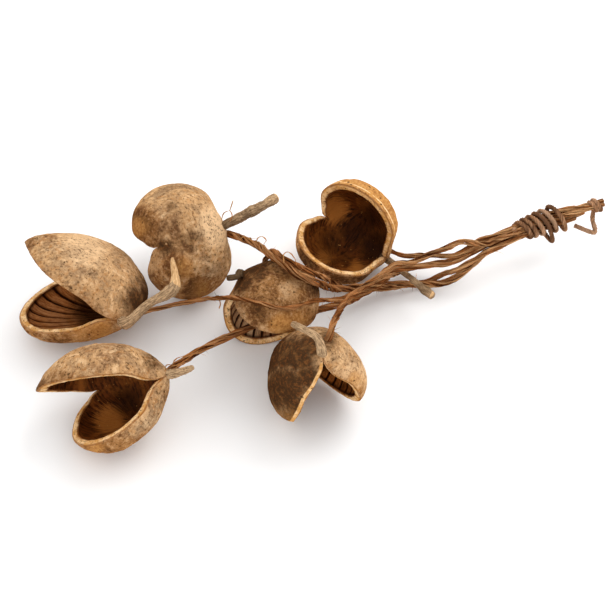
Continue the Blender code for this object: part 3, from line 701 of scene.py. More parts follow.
def rim_outline(pod, angle, inset, side):
    """Closed rim at these angles, inset into the wall: along and across the pod's axis, and its swell."""
    a = np.radians(angle)
    thin = (1.0 - (1.0 - WALL_AT_STALK) * bell(angle - pod.stalk_at, THIN_BY_STALK)
            - (1.0 - WALL_AT_NOTCH) * bell(angle - pod.notch, THIN_BY_NOTCH))
    share = np.where(np.sin(a) > 0.0, FRONT_SHARE, 1.0 - FRONT_SHARE)
    neck = FINE[pod.name][1] * bell(angle - pod.stalk_at, NECK_WIDTH)
    beak = np.zeros(len(angle))
    if side > 0:
        beak += pod.beak * bell(angle - TIP_ANGLE, BEAK_WIDTH)
        for at, width, swell in FINE[pod.name][2]:
            away = np.hypot((angle - at + 180.0) % 360.0 - 180.0, POINT_ROUND) - POINT_ROUND
            beak += swell * np.exp(-away / width)
    along = (0.5 * pod.length - inset * thin) * np.cos(a)
    across = (share * pod.height - inset * thin) * np.sin(a)
    return along, across, (neck + beak) * (1.0 - (1.0 - NECK_INSIDE) * inset / WALL)


def rim_columns(pod):
    """Angles of the columns round a rim, the joined back first, and how many lie on that back."""
    count = (RIBBED_COLUMNS if pod.ribbed else PLAIN_COLUMNS) * FINER
    hinge = count // 4
    back = np.linspace(pod.notch, pod.stalk_at, hinge, endpoint=False)
    front = np.linspace(pod.stalk_at, pod.notch + 360.0, count - hinge, endpoint=False)
    return np.concatenate([back, front]), hinge


def rib_profile(count):
    """How much each column lies on a slat, from 0 in the gap between two slats to 1."""
    phase = np.arange(count) / FINER
    to_gap = np.abs((phase + 1.0) % 2.0 - 1.0)
    return ease((to_gap - SLAT_GAP) / SLAT_EDGE)


def skin_ring(pod, angles, tau, inset, side, slats=None):
    """One ring of a closed half's skin, inside or outside its wall; tau is 0 at the rim."""
    ribs = pod.ribbed and inset > 0.0
    crown = np.array(RIB_CROWN if ribs else (0.0, -CROWN_DROP)) * (pod.length, pod.height)
    along, across, swell = rim_outline(pod, angles, inset, side)
    keel = pod.keel if side > 0 else BACK_KEEL * pod.keel
    power = DOME_POWER + keel * bell(angles - TIP_ANGLE, KEEL_WIDTH)
    radial = max(math.cos(tau), 0.0) ** DOME_ROUNDNESS
    grow = radial * (1.0 + swell * radial**3)
    rise = (pod.depth - inset) * math.sin(tau) ** power if tau else np.zeros(len(angles))
    ring = np.stack([crown[0] * (1.0 - radial) + along * grow, rise * side,
                     crown[1] * (1.0 - radial) + across * grow], 1)
    if slats is not None:
        ring *= 1.0 + RIB_SHARE * ((1.0 - 2.0 * slats) * math.sin(2.0 * tau))[:, None]
    return ring


def back_line(pod, inset):
    """Fine line of points along the joined back, from the notch to the stalk."""
    angles = np.linspace(pod.notch, pod.stalk_at, BACK_POINTS)
    along, across, swell = rim_outline(pod, angles, inset, 1)
    return np.stack([along * (1.0 + swell), np.zeros(BACK_POINTS), across * (1.0 + swell)], 1)


def shaped(pod, points, side, uneven=None):
    """A closed half's points as grown and opened about the chord from the notch to the stalk."""
    uneven = FINE[pod.name][0] if uneven is None else uneven
    points = points * (1.0 + uneven * lumps(points, pod.seed))[:, None]
    back = back_line(pod, 0.0)
    away = np.linalg.norm(points[:, None, :] - back[None], axis=2)
    near = np.exp(-(away - away.min(1, keepdims=True)) / FOLD_BLEND)
    along_back = (near * np.linspace(0.0, 1.0, len(back))).sum(1) / near.sum(1)
    fold = FOLD_NOTCH + (FOLD_STALK - FOLD_NOTCH) * ease(along_back / FOLD_LENGTH)
    share = ease(away.min(1) / fold)
    notch, stalk = back[0], back[-1]
    axis = unit(stalk - notch)
    turn = -np.radians(pod.opening) * share * side
    reach = np.clip(0.5 - points[:, 0] / pod.length, 0.0, None) ** STRETCH_POWER
    arm = points - notch
    arm[:, 0] -= pod.stretch * max(side, 0) * share * reach
    cosine, sine = np.cos(turn)[:, None], np.sin(turn)[:, None]
    return notch + arm * cosine + np.cross(axis, arm) * sine + axis * (arm @ axis)[:, None] * (1.0 - cosine)


class Shell:
    """Points, faces, zones and point values of one open pod, gathered skin by skin.

    The values of a point are its share of the way from the rim to the crown, the share of the split edge's
    width that lies outside it, its place round the rim, how far it lies on a slat, its zone, and how far it
    lies from the joined back.
    """

    OUTER, INNER, RIM = 0, 1, 2

    def __init__(self, pod):
        self.pod = pod
        self.angles, self.hinge = rim_columns(pod)
        self.count = len(self.angles)
        self.slats = rib_profile(self.count) if pod.ribbed else None
        self.points, self.faces, self.zones, self.values = [], [], [], []
        self.skins = {}
        for inset, side in ((0.0, 1), (0.0, -1), (WALL, 1), (WALL, -1)):
            self.skins[inset, side] = self.add_skin(inset, side)
        for side in (1, -1):
            self.add_band(side)

    def add_points(self, points, column, rise, across, rib, zone, edge):
        """Appends points with their values and returns their numbers."""
        first = len(self.points)
        self.points.extend(points)
        values = (rise, across, column / self.count, rib, zone, edge)
        self.values.extend(zip(*(np.broadcast_to(value, len(points)) for value in values)))
        return np.arange(first, len(self.points))

    def add_faces(self, faces, zone):
        self.faces.extend(faces)
        self.zones.extend([zone] * len(faces))

    def add_skin(self, inset, side):
        """One skin of one half, from its rim to its crown; both halves share the joined back."""
        pod, count = self.pod, self.count
        slats = self.slats if inset else None
        taus = 0.5 * math.pi * (np.arange(RINGS) / RINGS)
        rings = [skin_ring(pod, self.angles, tau, inset, side, slats) for tau in taus]
        crown = skin_ring(pod, self.angles[:1], 0.5 * math.pi, inset, side)
        closed = np.concatenate(rings + [crown])
        closed[self.hinge + 1:count, 1] = SLIT * side
        column = np.append(np.tile(np.arange(count), RINGS), 0)
        rise = np.append(np.repeat(np.arange(RINGS) / RINGS, count), 1.0)
        rib = np.append(np.tile(self.slats, RINGS), 1.0) if slats is not None else 1.0
        edge = ease((column - self.hinge) / EDGE_COLUMNS) * ease((count - column) / EDGE_COLUMNS)
        zone = self.INNER if inset else self.OUTER
        ids = self.add_points(shaped(pod, closed, side), column, rise, 1.0 if inset else 0.0, rib, zone, edge)
        if side < 0:
            ids[:self.hinge + 1] = self.skins[inset, 1][:self.hinge + 1]
        self.add_faces([tuple(ids[list(face)]) for face in grid_faces(RINGS, count)], zone)
        last = (RINGS - 1) * count
        self.add_faces([(ids[last + n], ids[last + (n + 1) % count], ids[-1]) for n in range(count)], zone)
        return ids

    def add_band(self, side):
        """The split edge between a half's two skins, a little rounded across its width."""
        columns = np.arange(self.hinge, self.count + 1) % self.count
        outer = skin_ring(self.pod, self.angles, 0.0, 0.0, side)[columns]
        inner = skin_ring(self.pod, self.angles, 0.0, WALL, side)[columns]
        width = np.linalg.norm(outer - inner, axis=1)
        from_start = np.arange(len(columns))
        end = ease(np.minimum(from_start, from_start[::-1]) / (3.0 * FINER))
        rows = [self.skins[0.0, side][columns]]
        for row in range(1, BAND_ROWS):
            share = 0.5 - 0.5 * math.cos(math.pi * row / BAND_ROWS)
            points = outer + (inner - outer) * share
            hump = (1.0 - (2.0 * share - 1.0) ** 4) * BAND_HUMP * width * end
            points[:, 1] = side * (SLIT * end - hump)
            points = shaped(self.pod, points, side)
            rows.append(self.add_points(points, columns, 0.0, share, 1.0, self.RIM, 1.0))
        rows.append(self.skins[WALL, side][columns])
        for upper, lower in zip(rows, rows[1:]):
            self.add_faces(list(zip(upper[:-1], upper[1:], lower[1:], lower[:-1])), self.RIM)


def point_normals(points, faces):
    """Mean normal of the faces round each point, on the side that the order of their corners gives."""
    normals = np.zeros_like(points)
    for size in (3, 4):
        chosen = np.array([face for face in faces if len(face) == size])
        if len(chosen):
            across = np.cross(points[chosen[:, 2]] - points[chosen[:, 0]],
                              points[chosen[:, -1]] - points[chosen[:, 1 if size == 4 else 0]])
            for corner in range(size):
                np.add.at(normals, chosen[:, corner], across)
    lengths = np.linalg.norm(normals, axis=1, keepdims=True)
    return normals / np.where(lengths > 1e-9, lengths, 1.0)


def roughened(pod, points, faces, rise, edge, zone):
    """Layout points of a shell with the skins' wrinkles and dents."""
    dent = np.clip(grain(points, DENT_SIZE, pod.seed + 3) - 0.5, 0.0, None) * DENT_DEPTH
    outer = (relief(points, SKIN_RELIEF, pod.seed) - dent) * np.maximum(ease(rise / 0.10), 1.0 - edge)
    inner = relief(points, HOLLOW_RELIEF, pod.seed + 4) * ease(rise / 0.10)
    rim = relief(points, RIM_RELIEF, pod.seed + 6)
    shift = np.where(zone == Shell.OUTER, outer, np.where(zone == Shell.INNER, inner, rim))
    return points + point_normals(points, faces) * shift[:, None]


def underside_and_front(points, faces):
    """How much each point's surface faces the floor, and how much it faces the camera, from 0 to 1."""
    normals = point_normals(points, faces)
    normals *= np.sign(np.sum(normals * (points - points.mean(0)), axis=1))[:, None]
    towards_view = normals[:, 2] * math.sin(VIEW_ELEVATION) - normals[:, 1] * math.cos(VIEW_ELEVATION)
    return ease((0.20 - normals[:, 2]) / 0.85), ease((towards_view + 0.55) / 0.45)


def bared_edge(pod, rise, edge, points):
    """Where the outer skin is rubbed bare to pale wood: by one rim of pod_f, and in a fine line on pod_d."""
    across, up = seen(points).T
    if pod.name == "pod_f":
        by_left_rim = ease((across + 20.0) / 4.0) * ease((22.0 - across) / 6.0) * ease((-38.0 - up) / 6.0)
        return by_left_rim * edge * ease((0.085 - rise) / 0.04)
    if pod.name == "pod_d":
        return 0.75 * ease((up - 52.0) / 10.0) * edge * np.exp(-((rise - 0.075) / 0.02) ** 2)
    return np.zeros(len(points))


def seat(pod):
    """Shift that drops a turned pod onto the surface, sunk by the depth of its foot in the solids."""
    angles = rim_columns(pod)[0][::FINER]
    lowest = math.inf
    for side in (1, -1):
        taus = [0.5 * math.pi * n / SOLID_RINGS for n in range(SOLID_RINGS)]
        rings = [skin_ring(pod, angles, tau, 0.0, side) for tau in taus]
        closed = np.concatenate(rings + [skin_ring(pod, angles[:1], 0.5 * math.pi, 0.0, side)])
        lowest = min(lowest, (shaped(pod, closed, side, LUMP_SHARE) @ turned(pod).T)[:, 2].min())
    return np.array([pod.place[0], pod.place[1], -lowest - FOOT_SINK])


def hole_axis(pod, shift):
    """Middle and outward direction, in the layout, of the hole by the stalk that holds the stem."""
    offset, tau, side = pod.hole
    angle = np.array([pod.stalk_at + offset])
    inside, outside = (shaped(pod, skin_ring(pod, angle, math.radians(tau), inset, side), side)[0]
                       for inset in (WALL, 0.0))
    return turned(pod) @ (0.5 * (inside + outside)) + shift, turned(pod) @ unit(outside - inside)


def make_pod(pod, looks):
    """One pod's shell, on the surface."""
    shell = Shell(pod)
    rise, across, around, rib, zone, edge = np.array(shell.values).T
    points = np.array(shell.points) @ turned(pod).T + seat(pod)
    points = roughened(pod, points, shell.faces, rise, edge, zone)
    points[:, 2] = np.maximum(points[:, 2], 0.0)
    outer = zone == Shell.OUTER
    turn = 2.0 * math.pi * around
    rust, shade, worn_and_lit = patches(points, STAINS_SHADES_AND_HIGHLIGHTS[pod.name], 2)
    honey, _ = patches(points, HONEY[pod.name])
    # Painted shade where a hollow lies deep, and painted light on its open parts
    dim, painted_light = patches(points, HOLLOW_SHADES[pod.name])
    under, front = underside_and_front(points, shell.faces)
    pale = np.clip(0.6 + 0.6 * grain(points, 30.0, pod.seed), 0.0, 1.0) * PALE_SLATS.get(pod.name, 0.0)
    fields = {
        "rise": rise, "across": across, "rib": rib, "edge": edge, "pale": pale,
        "worn_and_lit": worn_and_lit, "dim": dim, "painted_light": painted_light,
        "fan": np.stack([np.cos(turn), np.sin(turn), rise], 1),
        # Undersides that face the floor get painted shade: a warm rusty colour and darkening
        "rust": np.maximum(rust * front, 0.90 * under * outer),
        "shade": np.maximum(shade * front, 0.30 * under * outer),
        "honey": honey * np.where(outer, front, 1.0),
        "bared": bared_edge(pod, rise, edge, points) * outer,
    }
    skins = [looks["skin"], looks["ribs" if pod.ribbed else "hollow"], looks["rim"]]
    piece = mesh_piece(pod.name + "_shell", points, shell.faces, skins, shell.zones, fields)
    return without_loose_points(piece)


def without_loose_points(piece):
    """The piece without the points that no face uses."""
    shape = bmesh.new()
    shape.from_mesh(piece.data)
    loose = [point for point in shape.verts if not point.link_faces]
    bmesh.ops.delete(shape, geom=loose, context="VERTS")
    shape.to_mesh(piece.data)
    shape.free()
    return piece


def make_stalk(pod, look):
    """A pod's stalk, from inside its neck to its cut or broken end."""
    deep, radii, bare_from, dark, darker_end = STALKS[pod.name]
    shift = seat(pod)
    root = back_line(pod, 0.5 * WALL)[-1]
    start = [turned(pod) @ (root + [reach, 0.0, 0.0]) + shift for reach in (-deep, -0.3 * deep, 3.0)]
    path = smooth_path(start + list(pod.stalk), FINE_STEP)
    share = np.linspace(0.0, 1.0, len(path))
    radius = np.interp(share, np.linspace(0.0, 1.0, len(radii)), radii)
    radius[-len(STALK_END):] *= STALK_END
    radius = np.repeat(radius, STALK_SIDES)
    angle = 2.0 * math.pi * np.arange(STALK_SIDES) / STALK_SIDES
    first, second = cross_axes(path)
    ring = first[:, None] * np.cos(angle)[None, :, None] + second[:, None] * np.sin(angle)[None, :, None]
    outward = ring.reshape(-1, 3)
    along = np.repeat(distances(path), STALK_SIDES)
    angle = np.tile(angle, len(path))
    points = np.repeat(path, STALK_SIDES, axis=0) + outward * radius[:, None]
    rings = np.sin(along * 2.6 + 2.5 * grain(points, 7.0, pod.seed + 2))
    grooves = np.cos(angle * 6.0 + along * 0.08 + pod.seed)
    uneven = relief(points, KNOB_RELIEF, pod.seed) + STALK_LINES * rings + STALK_LINES * grooves
    points += outward * (uneven * (0.4 + 0.2 * radius))[:, None]
    faces = grid_faces(len(path), STALK_SIDES)
    base, last = len(points), len(points) - STALK_SIDES
    for n in range(STALK_SIDES):
        m = (n + 1) % STALK_SIDES
        faces.append((m, n, base))
        faces.append((last + n, last + m, base + 1))
    points = np.concatenate([points, path[:1], path[-1:] + 0.3 * unit(path[-1] - path[-2])])
    along = np.append(along, [0.0, along[-1]])
    angle = np.append(angle, [0.0, 0.0])
    share = along / along.max()
    shade = dark + (darker_end - dark) * share + 0.3 * grain(points, 6.0, pod.seed + 5)
    fields = {"bark": np.stack([np.cos(angle), np.sin(angle), along], 1),
              "bare": ease((share + 0.03 * grain(points, 3.0, pod.seed + 4) - bare_from) / 0.04),
              "shade": np.clip(shade, 0.0, 1.0)}
    return mesh_piece(pod.name + "_stalk", points, faces, [look], fields=fields)


# Stems, binding and end tie

def handle_axes():
    """Points of the handle's axis, the distance run, and the level and upward directions square to it."""
    path = smooth_path(HANDLE, STEM_STEP)
    tangents = unit(np.gradient(path, axis=0))
    level = unit(np.cross(np.array([0.0, 0.0, 1.0]), tangents))
    return path, distances(path), level, np.cross(tangents, level)


def round_handle(run, angle, radius):
    """Layout points at these distances along the handle, at an angle and radius about its axis."""
    path, marks, level, up = handle_axes()
    a = np.radians(angle)[:, None]
    middle, aside, above = (np.stack([np.interp(run, marks, field[:, axis]) for axis in range(3)], 1)
                            for field in (path, level, up))
    return middle + np.reshape(radius, (-1, 1)) * (aside * np.cos(a) + above * np.sin(a))


def stem_path(name):
    """Layout points along a stem, from its pod to its end in the handle."""
    route, angle, end, _, _ = ROUTES[name]
    pod = next(pod for pod in PODS if pod.name == name.replace("stem", "pod"))
    middle, out = hole_axis(pod, seat(pod))
    run = np.linspace(BOUND_FROM, end, BOUND_POINTS)
    radius = np.interp(run, *HANDLE_TAPER) * (0.0 if angle is None else 1.0)
    bound = round_handle(run, (angle or 0.0) + BUNDLE_TWIST * run / TWIST_RUN, radius)
    points = [middle + out * reach for reach in STEM_START] + list(route)
    return smooth_path(points + list(bound), STEM_STEP)


def winding(turns, loop=None):
    """Distances, angles and radii round the handle of turns that slant from its top to its bottom edge."""
    knots = []
    for number, (top, bottom, radius) in enumerate(turns):
        after = turns[number + 1][0] if number + 1 < len(turns) else top + 4
        low = loop[1] if loop and loop[0] == number else radius
        for angle, start, end, share, away in (
                (40, top, bottom, 0.0, radius), (85, top, bottom, 0.2, radius),
                (130, top, bottom, 0.5, radius), (175, top, bottom, 0.8, radius),
                (220, bottom, after, 0.0, low), (265, bottom, after, 0.3, 0.5 * (low + radius)),
                (310, bottom, after, 0.5, radius), (355, bottom, after, 0.8, radius)):
            knots.append((start + share * (end - start), angle + 360 * number, away))
    return knots


def binding_path():
    """Layout points along the wire wound round the handle, with both ends tucked in."""
    turn = 360 * (len(BINDING) - 1)
    knots = list(BINDING_ENDS[0]) + winding(BINDING, LOW_LOOP)[:-3]
    knots += [(run, angle + turn, away) for run, angle, away in BINDING_ENDS[1]]
    run, angle, away = np.array(knots, float).T
    return smooth_path(round_handle(run, angle, away), FINE_STEP)


def tie_path():
    """Layout points along the wire round the handle's end and along its hook."""
    run, angle, away = np.array(winding(TIE)[:-3], float).T
    return smooth_path(list(round_handle(run, angle, away)) + list(HOOK), FINE_STEP)


STRIP_INPUTS = (
    ("Strips", "NodeSocketInt", 3),
    ("Spread", "NodeSocketFloat", 0.0015),
    ("Width", "NodeSocketFloat", 0.0016),
    ("Flatness", "NodeSocketFloat", 0.6),
    ("Twist Length", "NodeSocketFloat", 0.05),
    ("Unevenness", "NodeSocketFloat", 0.35),
    ("Fibre Density", "NodeSocketFloat", 1500.0),
    ("Fibre Length", "NodeSocketFloat", 0.007),
    ("Seed", "NodeSocketInt", 1),
    ("Core", "NodeSocketFloat", 0.0),
    ("Bark", "NodeSocketMaterial", None),
)


def strip_tree():
    """Geometry Nodes tree that lays twisted bark strips along a path and grows loose fibres on them."""
    group = bpy.data.node_groups.new("bark_strips", "GeometryNodeTree")
    group.is_modifier = True
    face = group.interface
    face.new_socket("Geometry", in_out="INPUT", socket_type="NodeSocketGeometry")
    face.new_socket("Geometry", in_out="OUTPUT", socket_type="NodeSocketGeometry")
    for name, kind, default in STRIP_INPUTS:
        socket = face.new_socket(name, in_out="INPUT", socket_type=kind)
        if default is not None:
            socket.default_value = default
    t = Tree(group)
    given = t.node("NodeGroupInput").outputs
    strips = laid_strips(t, given)
    both = t.node("GeometryNodeJoinGeometry")
    for part in (strips, grown_fibres(t, given, strips)):
        group.links.new(part, both.inputs[0])
    real = t.node("GeometryNodeRealizeInstances", {"Geometry": both.outputs[0]}).outputs[0]
    real = t.node("GeometryNodeSetShadeSmooth", {"Geometry": real}).outputs[0]
    real = t.node("GeometryNodeSetMaterial", {"Geometry": real, "Material": given["Bark"]}).outputs[0]
    t.node("NodeGroupOutput", {"Geometry": real})
    return group


def laid_strips(t, given):
    """Strips that wind round the path, with one in its middle where Core is 1, grooved and uneven."""
    curve = t.node("GeometryNodeMeshToCurve", {"Mesh": given["Geometry"]}).outputs[0]
    copies = t.node("GeometryNodeDuplicateElements", {"Geometry": curve, "Amount": given["Strips"]},
                    domain="SPLINE").outputs
    index = copies["Duplicate Index"]
    number = t.math("ADD", index, t.math("MULTIPLY", given["Seed"], 7.0))
    middle = t.math("MULTIPLY", t.math("LESS_THAN", index, 0.5), given["Core"])
    strips = t.store(copies["Geometry"], "strip", number, domain="CURVE")
    strips = t.store(strips, "middle", middle, domain="CURVE")
    number, middle = t.stored("strip"), t.stored("middle")
    place = t.node("GeometryNodeSplineParameter").outputs
    along = place["Length"]

    def wander(scale, shift):
        """Random value that changes along each strip, from -0.5 to 0.5."""
        where = t.node("ShaderNodeCombineXYZ", {0: t.math("MULTIPLY", along, scale),
                                                1: t.math("MULTIPLY", number, 3.31), 2: shift}).outputs[0]
        made = t.node("ShaderNodeTexNoise", {"Vector": where, "Scale": 1.0, "Detail": 2.0}).outputs[0]
        return t.math("SUBTRACT", made, 0.5)

    def uneven(scale, shift, amount):
        return t.math("MULTIPLY", wander(scale, shift), t.math("MULTIPLY", given["Unevenness"], amount))

    turn = t.math("DIVIDE", along, given["Twist Length"])
    share = t.math("ADD", t.math("DIVIDE", number, given["Strips"]), turn)
    angle = t.math("MULTIPLY", t.math("ADD", share, uneven(30.0, 1.7, 3.0)), 2.0 * math.pi)
    reach = t.math("MULTIPLY", given["Spread"], t.math("ADD", 1.0, uneven(22.0, 5.3, 3.2)))
    reach = t.math("MULTIPLY", reach, t.math("SUBTRACT", 1.0, middle))
    normal = t.node("GeometryNodeInputNormal").outputs[0]
    tangent = t.node("GeometryNodeInputTangent").outputs[0]
    aside = t.vector("CROSS_PRODUCT", tangent, normal)
    offset = t.vector("ADD", t.scaled(normal, t.math("MULTIPLY", reach, t.math("COSINE", angle))),
                      t.scaled(aside, t.math("MULTIPLY", reach, t.math("SINE", angle))))
    strips = t.node("GeometryNodeSetPosition", {"Geometry": strips, "Offset": offset}).outputs[0]
    tilt = t.math("MULTIPLY", t.math("ADD", t.math("MULTIPLY", turn, 1.4), wander(18.0, 9.1)), 2.0 * math.pi)
    strips = t.node("GeometryNodeSetCurveTilt", {"Curve": strips, "Tilt": tilt}).outputs[0]
    strips = t.store(strips, "run", along)
    strips = t.store(strips, "lay", tangent, "FLOAT_VECTOR")

    profile = t.node("GeometryNodeCurveStar", {
        "Points": STRIP_RIDGES, "Inner Radius": t.math("MULTIPLY", given["Width"], STRIP_INNER),
        "Outer Radius": t.math("MULTIPLY", given["Width"], STRIP_OUTER)}).outputs[0]
    flat = t.node("ShaderNodeCombineXYZ", {0: 1.0, 1: given["Flatness"], 2: 1.0}).outputs[0]
    profile = t.node("GeometryNodeTransform", {"Geometry": profile, "Scale": flat}).outputs[0]
    profile = t.store(profile, "over", place["Factor"])
    size = t.math("ADD", 1.0, uneven(40.0, 3.9, 3.6))
    size = t.math("MULTIPLY", size, t.math("ADD", 1.0, t.math("MULTIPLY", middle, CORE_SWELL)))
    strips = t.node("GeometryNodeCurveToMesh", {"Curve": strips, "Profile Curve": profile, "Scale": size,
                                                "Fill Caps": True}).outputs[0]
    fibre = {axis: t.stored(name) for axis, name in enumerate(("run", "over", "strip"))}
    strips = t.store(strips, "fibre", t.node("ShaderNodeCombineXYZ", fibre).outputs[0], "FLOAT_VECTOR")
    rough = t.node("ShaderNodeTexNoise", {"Scale": 420.0, "Detail": 2.0}).outputs["Color"]
    jog = t.scaled(t.vector("SUBTRACT", rough, (0.5, 0.5, 0.5)), STRIP_ROUGHNESS)
    return t.node("GeometryNodeSetPosition", {"Geometry": strips, "Offset": jog}).outputs[0]


def grown_fibres(t, given, strips):
    """Fine curved hairs that stand off the strips, each of its own length and lean."""
    seed = given["Seed"]
    spots = t.node("GeometryNodeDistributePointsOnFaces", {"Mesh": strips, "Density": given["Fibre Density"],
                                                           "Seed": seed}).outputs
    hair = t.node("GeometryNodeCurveQuadraticBezier", {"Resolution": 7, "Start": (0.0, 0.0, 0.0),
                                                       "Middle": (0.55, 0.0, 0.04),
                                                       "End": (1.0, 0.10, 0.42)}).outputs[0]
    taper = t.math("SUBTRACT", 1.05, t.node("GeometryNodeSplineParameter").outputs["Factor"])
    needle = t.node("GeometryNodeCurvePrimitiveCircle", {"Resolution": 3, "Radius": 0.028}).outputs[0]
    hair = t.node("GeometryNodeCurveToMesh", {"Curve": hair, "Profile Curve": needle,
                                              "Scale": taper}).outputs[0]
    aim = t.node("FunctionNodeAlignRotationToVector", {"Rotation": spots["Rotation"],
                                                       "Vector": t.stored("lay", "FLOAT_VECTOR")},
                 axis="X", pivot_axis="Z").outputs[0]
    spin = t.node("FunctionNodeRandomValue", {0: (-0.25, -0.9, -0.9), 1: (0.25, -0.05, 0.9), "Seed": seed},
                  data_type="FLOAT_VECTOR").outputs[0]
    aim = t.node("FunctionNodeRotateRotation", {0: aim, 1: spin}, rotation_space="LOCAL").outputs[0]
    length = t.node("FunctionNodeRandomValue", {2: 0.25, 3: 1.2, "Seed": t.math("ADD", seed, 3.0)},
                    data_type="FLOAT").outputs[1]
    length = t.math("MULTIPLY", t.math("POWER", length, 1.6), given["Fibre Length"])
    return t.node("GeometryNodeInstanceOnPoints", {"Points": spots["Points"], "Instance": hair,
                                                   "Rotation": aim, "Scale": length}).outputs[0]


def grown_along(name, path, tree, settings, edges=None):
    """Plain mesh piece that the tree makes along a path of layout points."""
    mesh = bpy.data.meshes.new(name)
    edges = edges or [(n, n + 1) for n in range(len(path) - 1)]
    mesh.from_pydata(((path - ORIGIN) * MM).tolist(), edges, [])
    piece = bpy.data.objects.new(name, mesh)
    bpy.context.scene.collection.objects.link(piece)
    step = piece.modifiers.new("strips", "NODES")
    step.node_group = tree
    keys = {item.name: item.identifier for item in tree.interface.items_tree
            if item.item_type == "SOCKET" and item.in_out == "INPUT"}
    for label, value in settings.items():
        step[keys[label]] = value
    shape = piece.evaluated_get(bpy.context.evaluated_depsgraph_get())
    made = bpy.data.meshes.new_from_object(shape)
    piece.modifiers.remove(step)
    piece.data = made
    made.name = name
    return piece


# Settings shown in the sidebar

def colour_setting(name, description, value):
    """Colour that a user may change."""
    return bpy.props.FloatVectorProperty(name=name, description=description, subtype="COLOR", size=3, min=0.0,
                                         max=1.0, default=value)


class ClusterColours(bpy.types.PropertyGroup):
    """Colours of the pods, stems and binding."""
    skin_tan: colour_setting("Skin", "Main colour of a pod's outer skin", (0.53, 0.305, 0.140))
    skin_grey: colour_setting("Weathered skin", "Greyer parts of the outer skin", (0.27, 0.166, 0.090))
    skin_pale: colour_setting("Worn skin", "Palest parts of the outer skin", (0.77, 0.51, 0.285))
    skin_amber: colour_setting("Amber skin", "Lighter parts of the stains", (0.44, 0.19, 0.055))
    skin_rust: colour_setting("Stained skin", "Rusty stains on the outer skin", (0.20, 0.062, 0.014))
    skin_umber: colour_setting("Shaded skin", "Dark patches of the outer skin", (0.042, 0.020, 0.009))
    skin_dark: colour_setting("Pits", "Pits and dark flecks of the outer skin", (0.060, 0.027, 0.011))
    rim_pale: colour_setting("Split edge", "Fresh wood of the split edge", (0.90, 0.60, 0.31))
    rim_honey: colour_setting("Aged edge", "Darker wood of the split edge", (0.60, 0.295, 0.085))
    hollow_dark: colour_setting("Deep hollow", "Darkest parts inside a pod", (0.017, 0.004, 0.0008))
    hollow_brown: colour_setting("Hollow", "Main colour inside a pod", (0.150, 0.038, 0.007))
    hollow_amber: colour_setting("Amber hollow", "Amber wood inside a pod", (0.38, 0.120, 0.020))
    # Painted light: colour of the lit spots inside a pod
    hollow_painted_light: colour_setting("Lit hollow", "Brightest wood inside a pod", (0.50, 0.175, 0.032))
    slat_pale: colour_setting("Slats", "Pale ribs inside a ribbed pod", (0.92, 0.66, 0.39))
    bark_dark: colour_setting("Bark shade", "Dark lines of the bark strips", (0.042, 0.013, 0.005))
    bark_rust: colour_setting("Bark", "Main colour of the bark strips", (0.60, 0.205, 0.058))
    bark_pale: colour_setting("Bark fibres", "Pale fibres of the bark strips", (0.92, 0.52, 0.235))
    wire_dark: colour_setting("Binding shade", "Dark lines of the binding", (0.135, 0.060, 0.030))
    wire_brown: colour_setting("Binding", "Main colour of the binding", (0.60, 0.305, 0.150))
    wire_pale: colour_setting("Worn binding", "Worn parts of the binding", (0.60, 0.36, 0.22))


def size_setting(name, description, value, low, high, **kind):
    """Number that a user may change, from low to high."""
    return bpy.props.FloatProperty(name=name, description=description, default=value, min=low, max=high,
                                   **kind)


class ClusterSizes(bpy.types.PropertyGroup):
    """Sizes of the strips, fibres and wires."""
    strip_width: size_setting("Strip width", "Width of one bark strip", 0.00175, 0.0005, 0.01, unit="LENGTH")
    twist_length: size_setting("Twist length", "Length of one full twist of a stem", 0.075, 0.01, 0.5,
                               unit="LENGTH")
    fibre_length: size_setting("Fibre length", "Length of a loose fibre", 0.0065, 0.001, 0.03, unit="LENGTH")
    fibre_density: size_setting("Fibres", "Loose fibres on a square metre of bark", 5000.0, 0.0, 50000.0)
    wire_width: size_setting("Binding width", "Thickness of the binding", 0.0041, 0.001, 0.01, unit="LENGTH")


class ClusterStage(bpy.types.PropertyGroup):
    """Camera, lights and surroundings."""
    lens: size_setting("Lens", "Focal length of the camera in millimetres", 85.0, 20.0, 300.0)
    distance: size_setting("Distance", "From the camera to the middle of the picture", VIEW_DISTANCE * MM,
                           0.2, 5.0, unit="LENGTH")
    elevation: size_setting("Elevation", "Angle of the camera above the floor", VIEW_ELEVATION,
                            0.0, math.pi / 2, subtype="ANGLE")
    key_power: size_setting("Key light", "Power of the soft key light in watts", 11.0, 0.0, 500.0)
    sky: size_setting("Sky", "Brightness of the white surroundings", 1.22, 0.0, 5.0)


# Operators

LOOKS = {}                               # materials by the short names that the operators use
FLOOR_REACH = 4000.0
KEY_SIZE, KEY_PLACE = 1.4, (0.78, 0.75, 1.35)


class CLUSTER_OT_looks(bpy.types.Operator):
    """Make the materials of the cluster"""
    bl_idname = "cluster.looks"
    bl_label = "Materials"

    def execute(self, context):
        colours = context.scene.cluster_colours
        LOOKS["skin"] = skin_look(colours)
        LOOKS["rim"] = rim_look(colours)
        LOOKS["hollow"] = hollow_look(colours)
        LOOKS["ribs"] = ribbed_look(colours)
        LOOKS["stalk"] = stalk_look(colours)
        LOOKS["bark"] = bark_look("twisted_bark", colours, "bark_dark", "bark_rust", "bark_pale", 0.42)
        LOOKS["curl"] = bark_look("loose_bark", colours, "bark_rust", "rim_honey", "rim_pale")
        LOOKS["wire"] = bark_look("covered_wire", colours, "wire_dark", "wire_brown", "wire_pale")
        return {"FINISHED"}


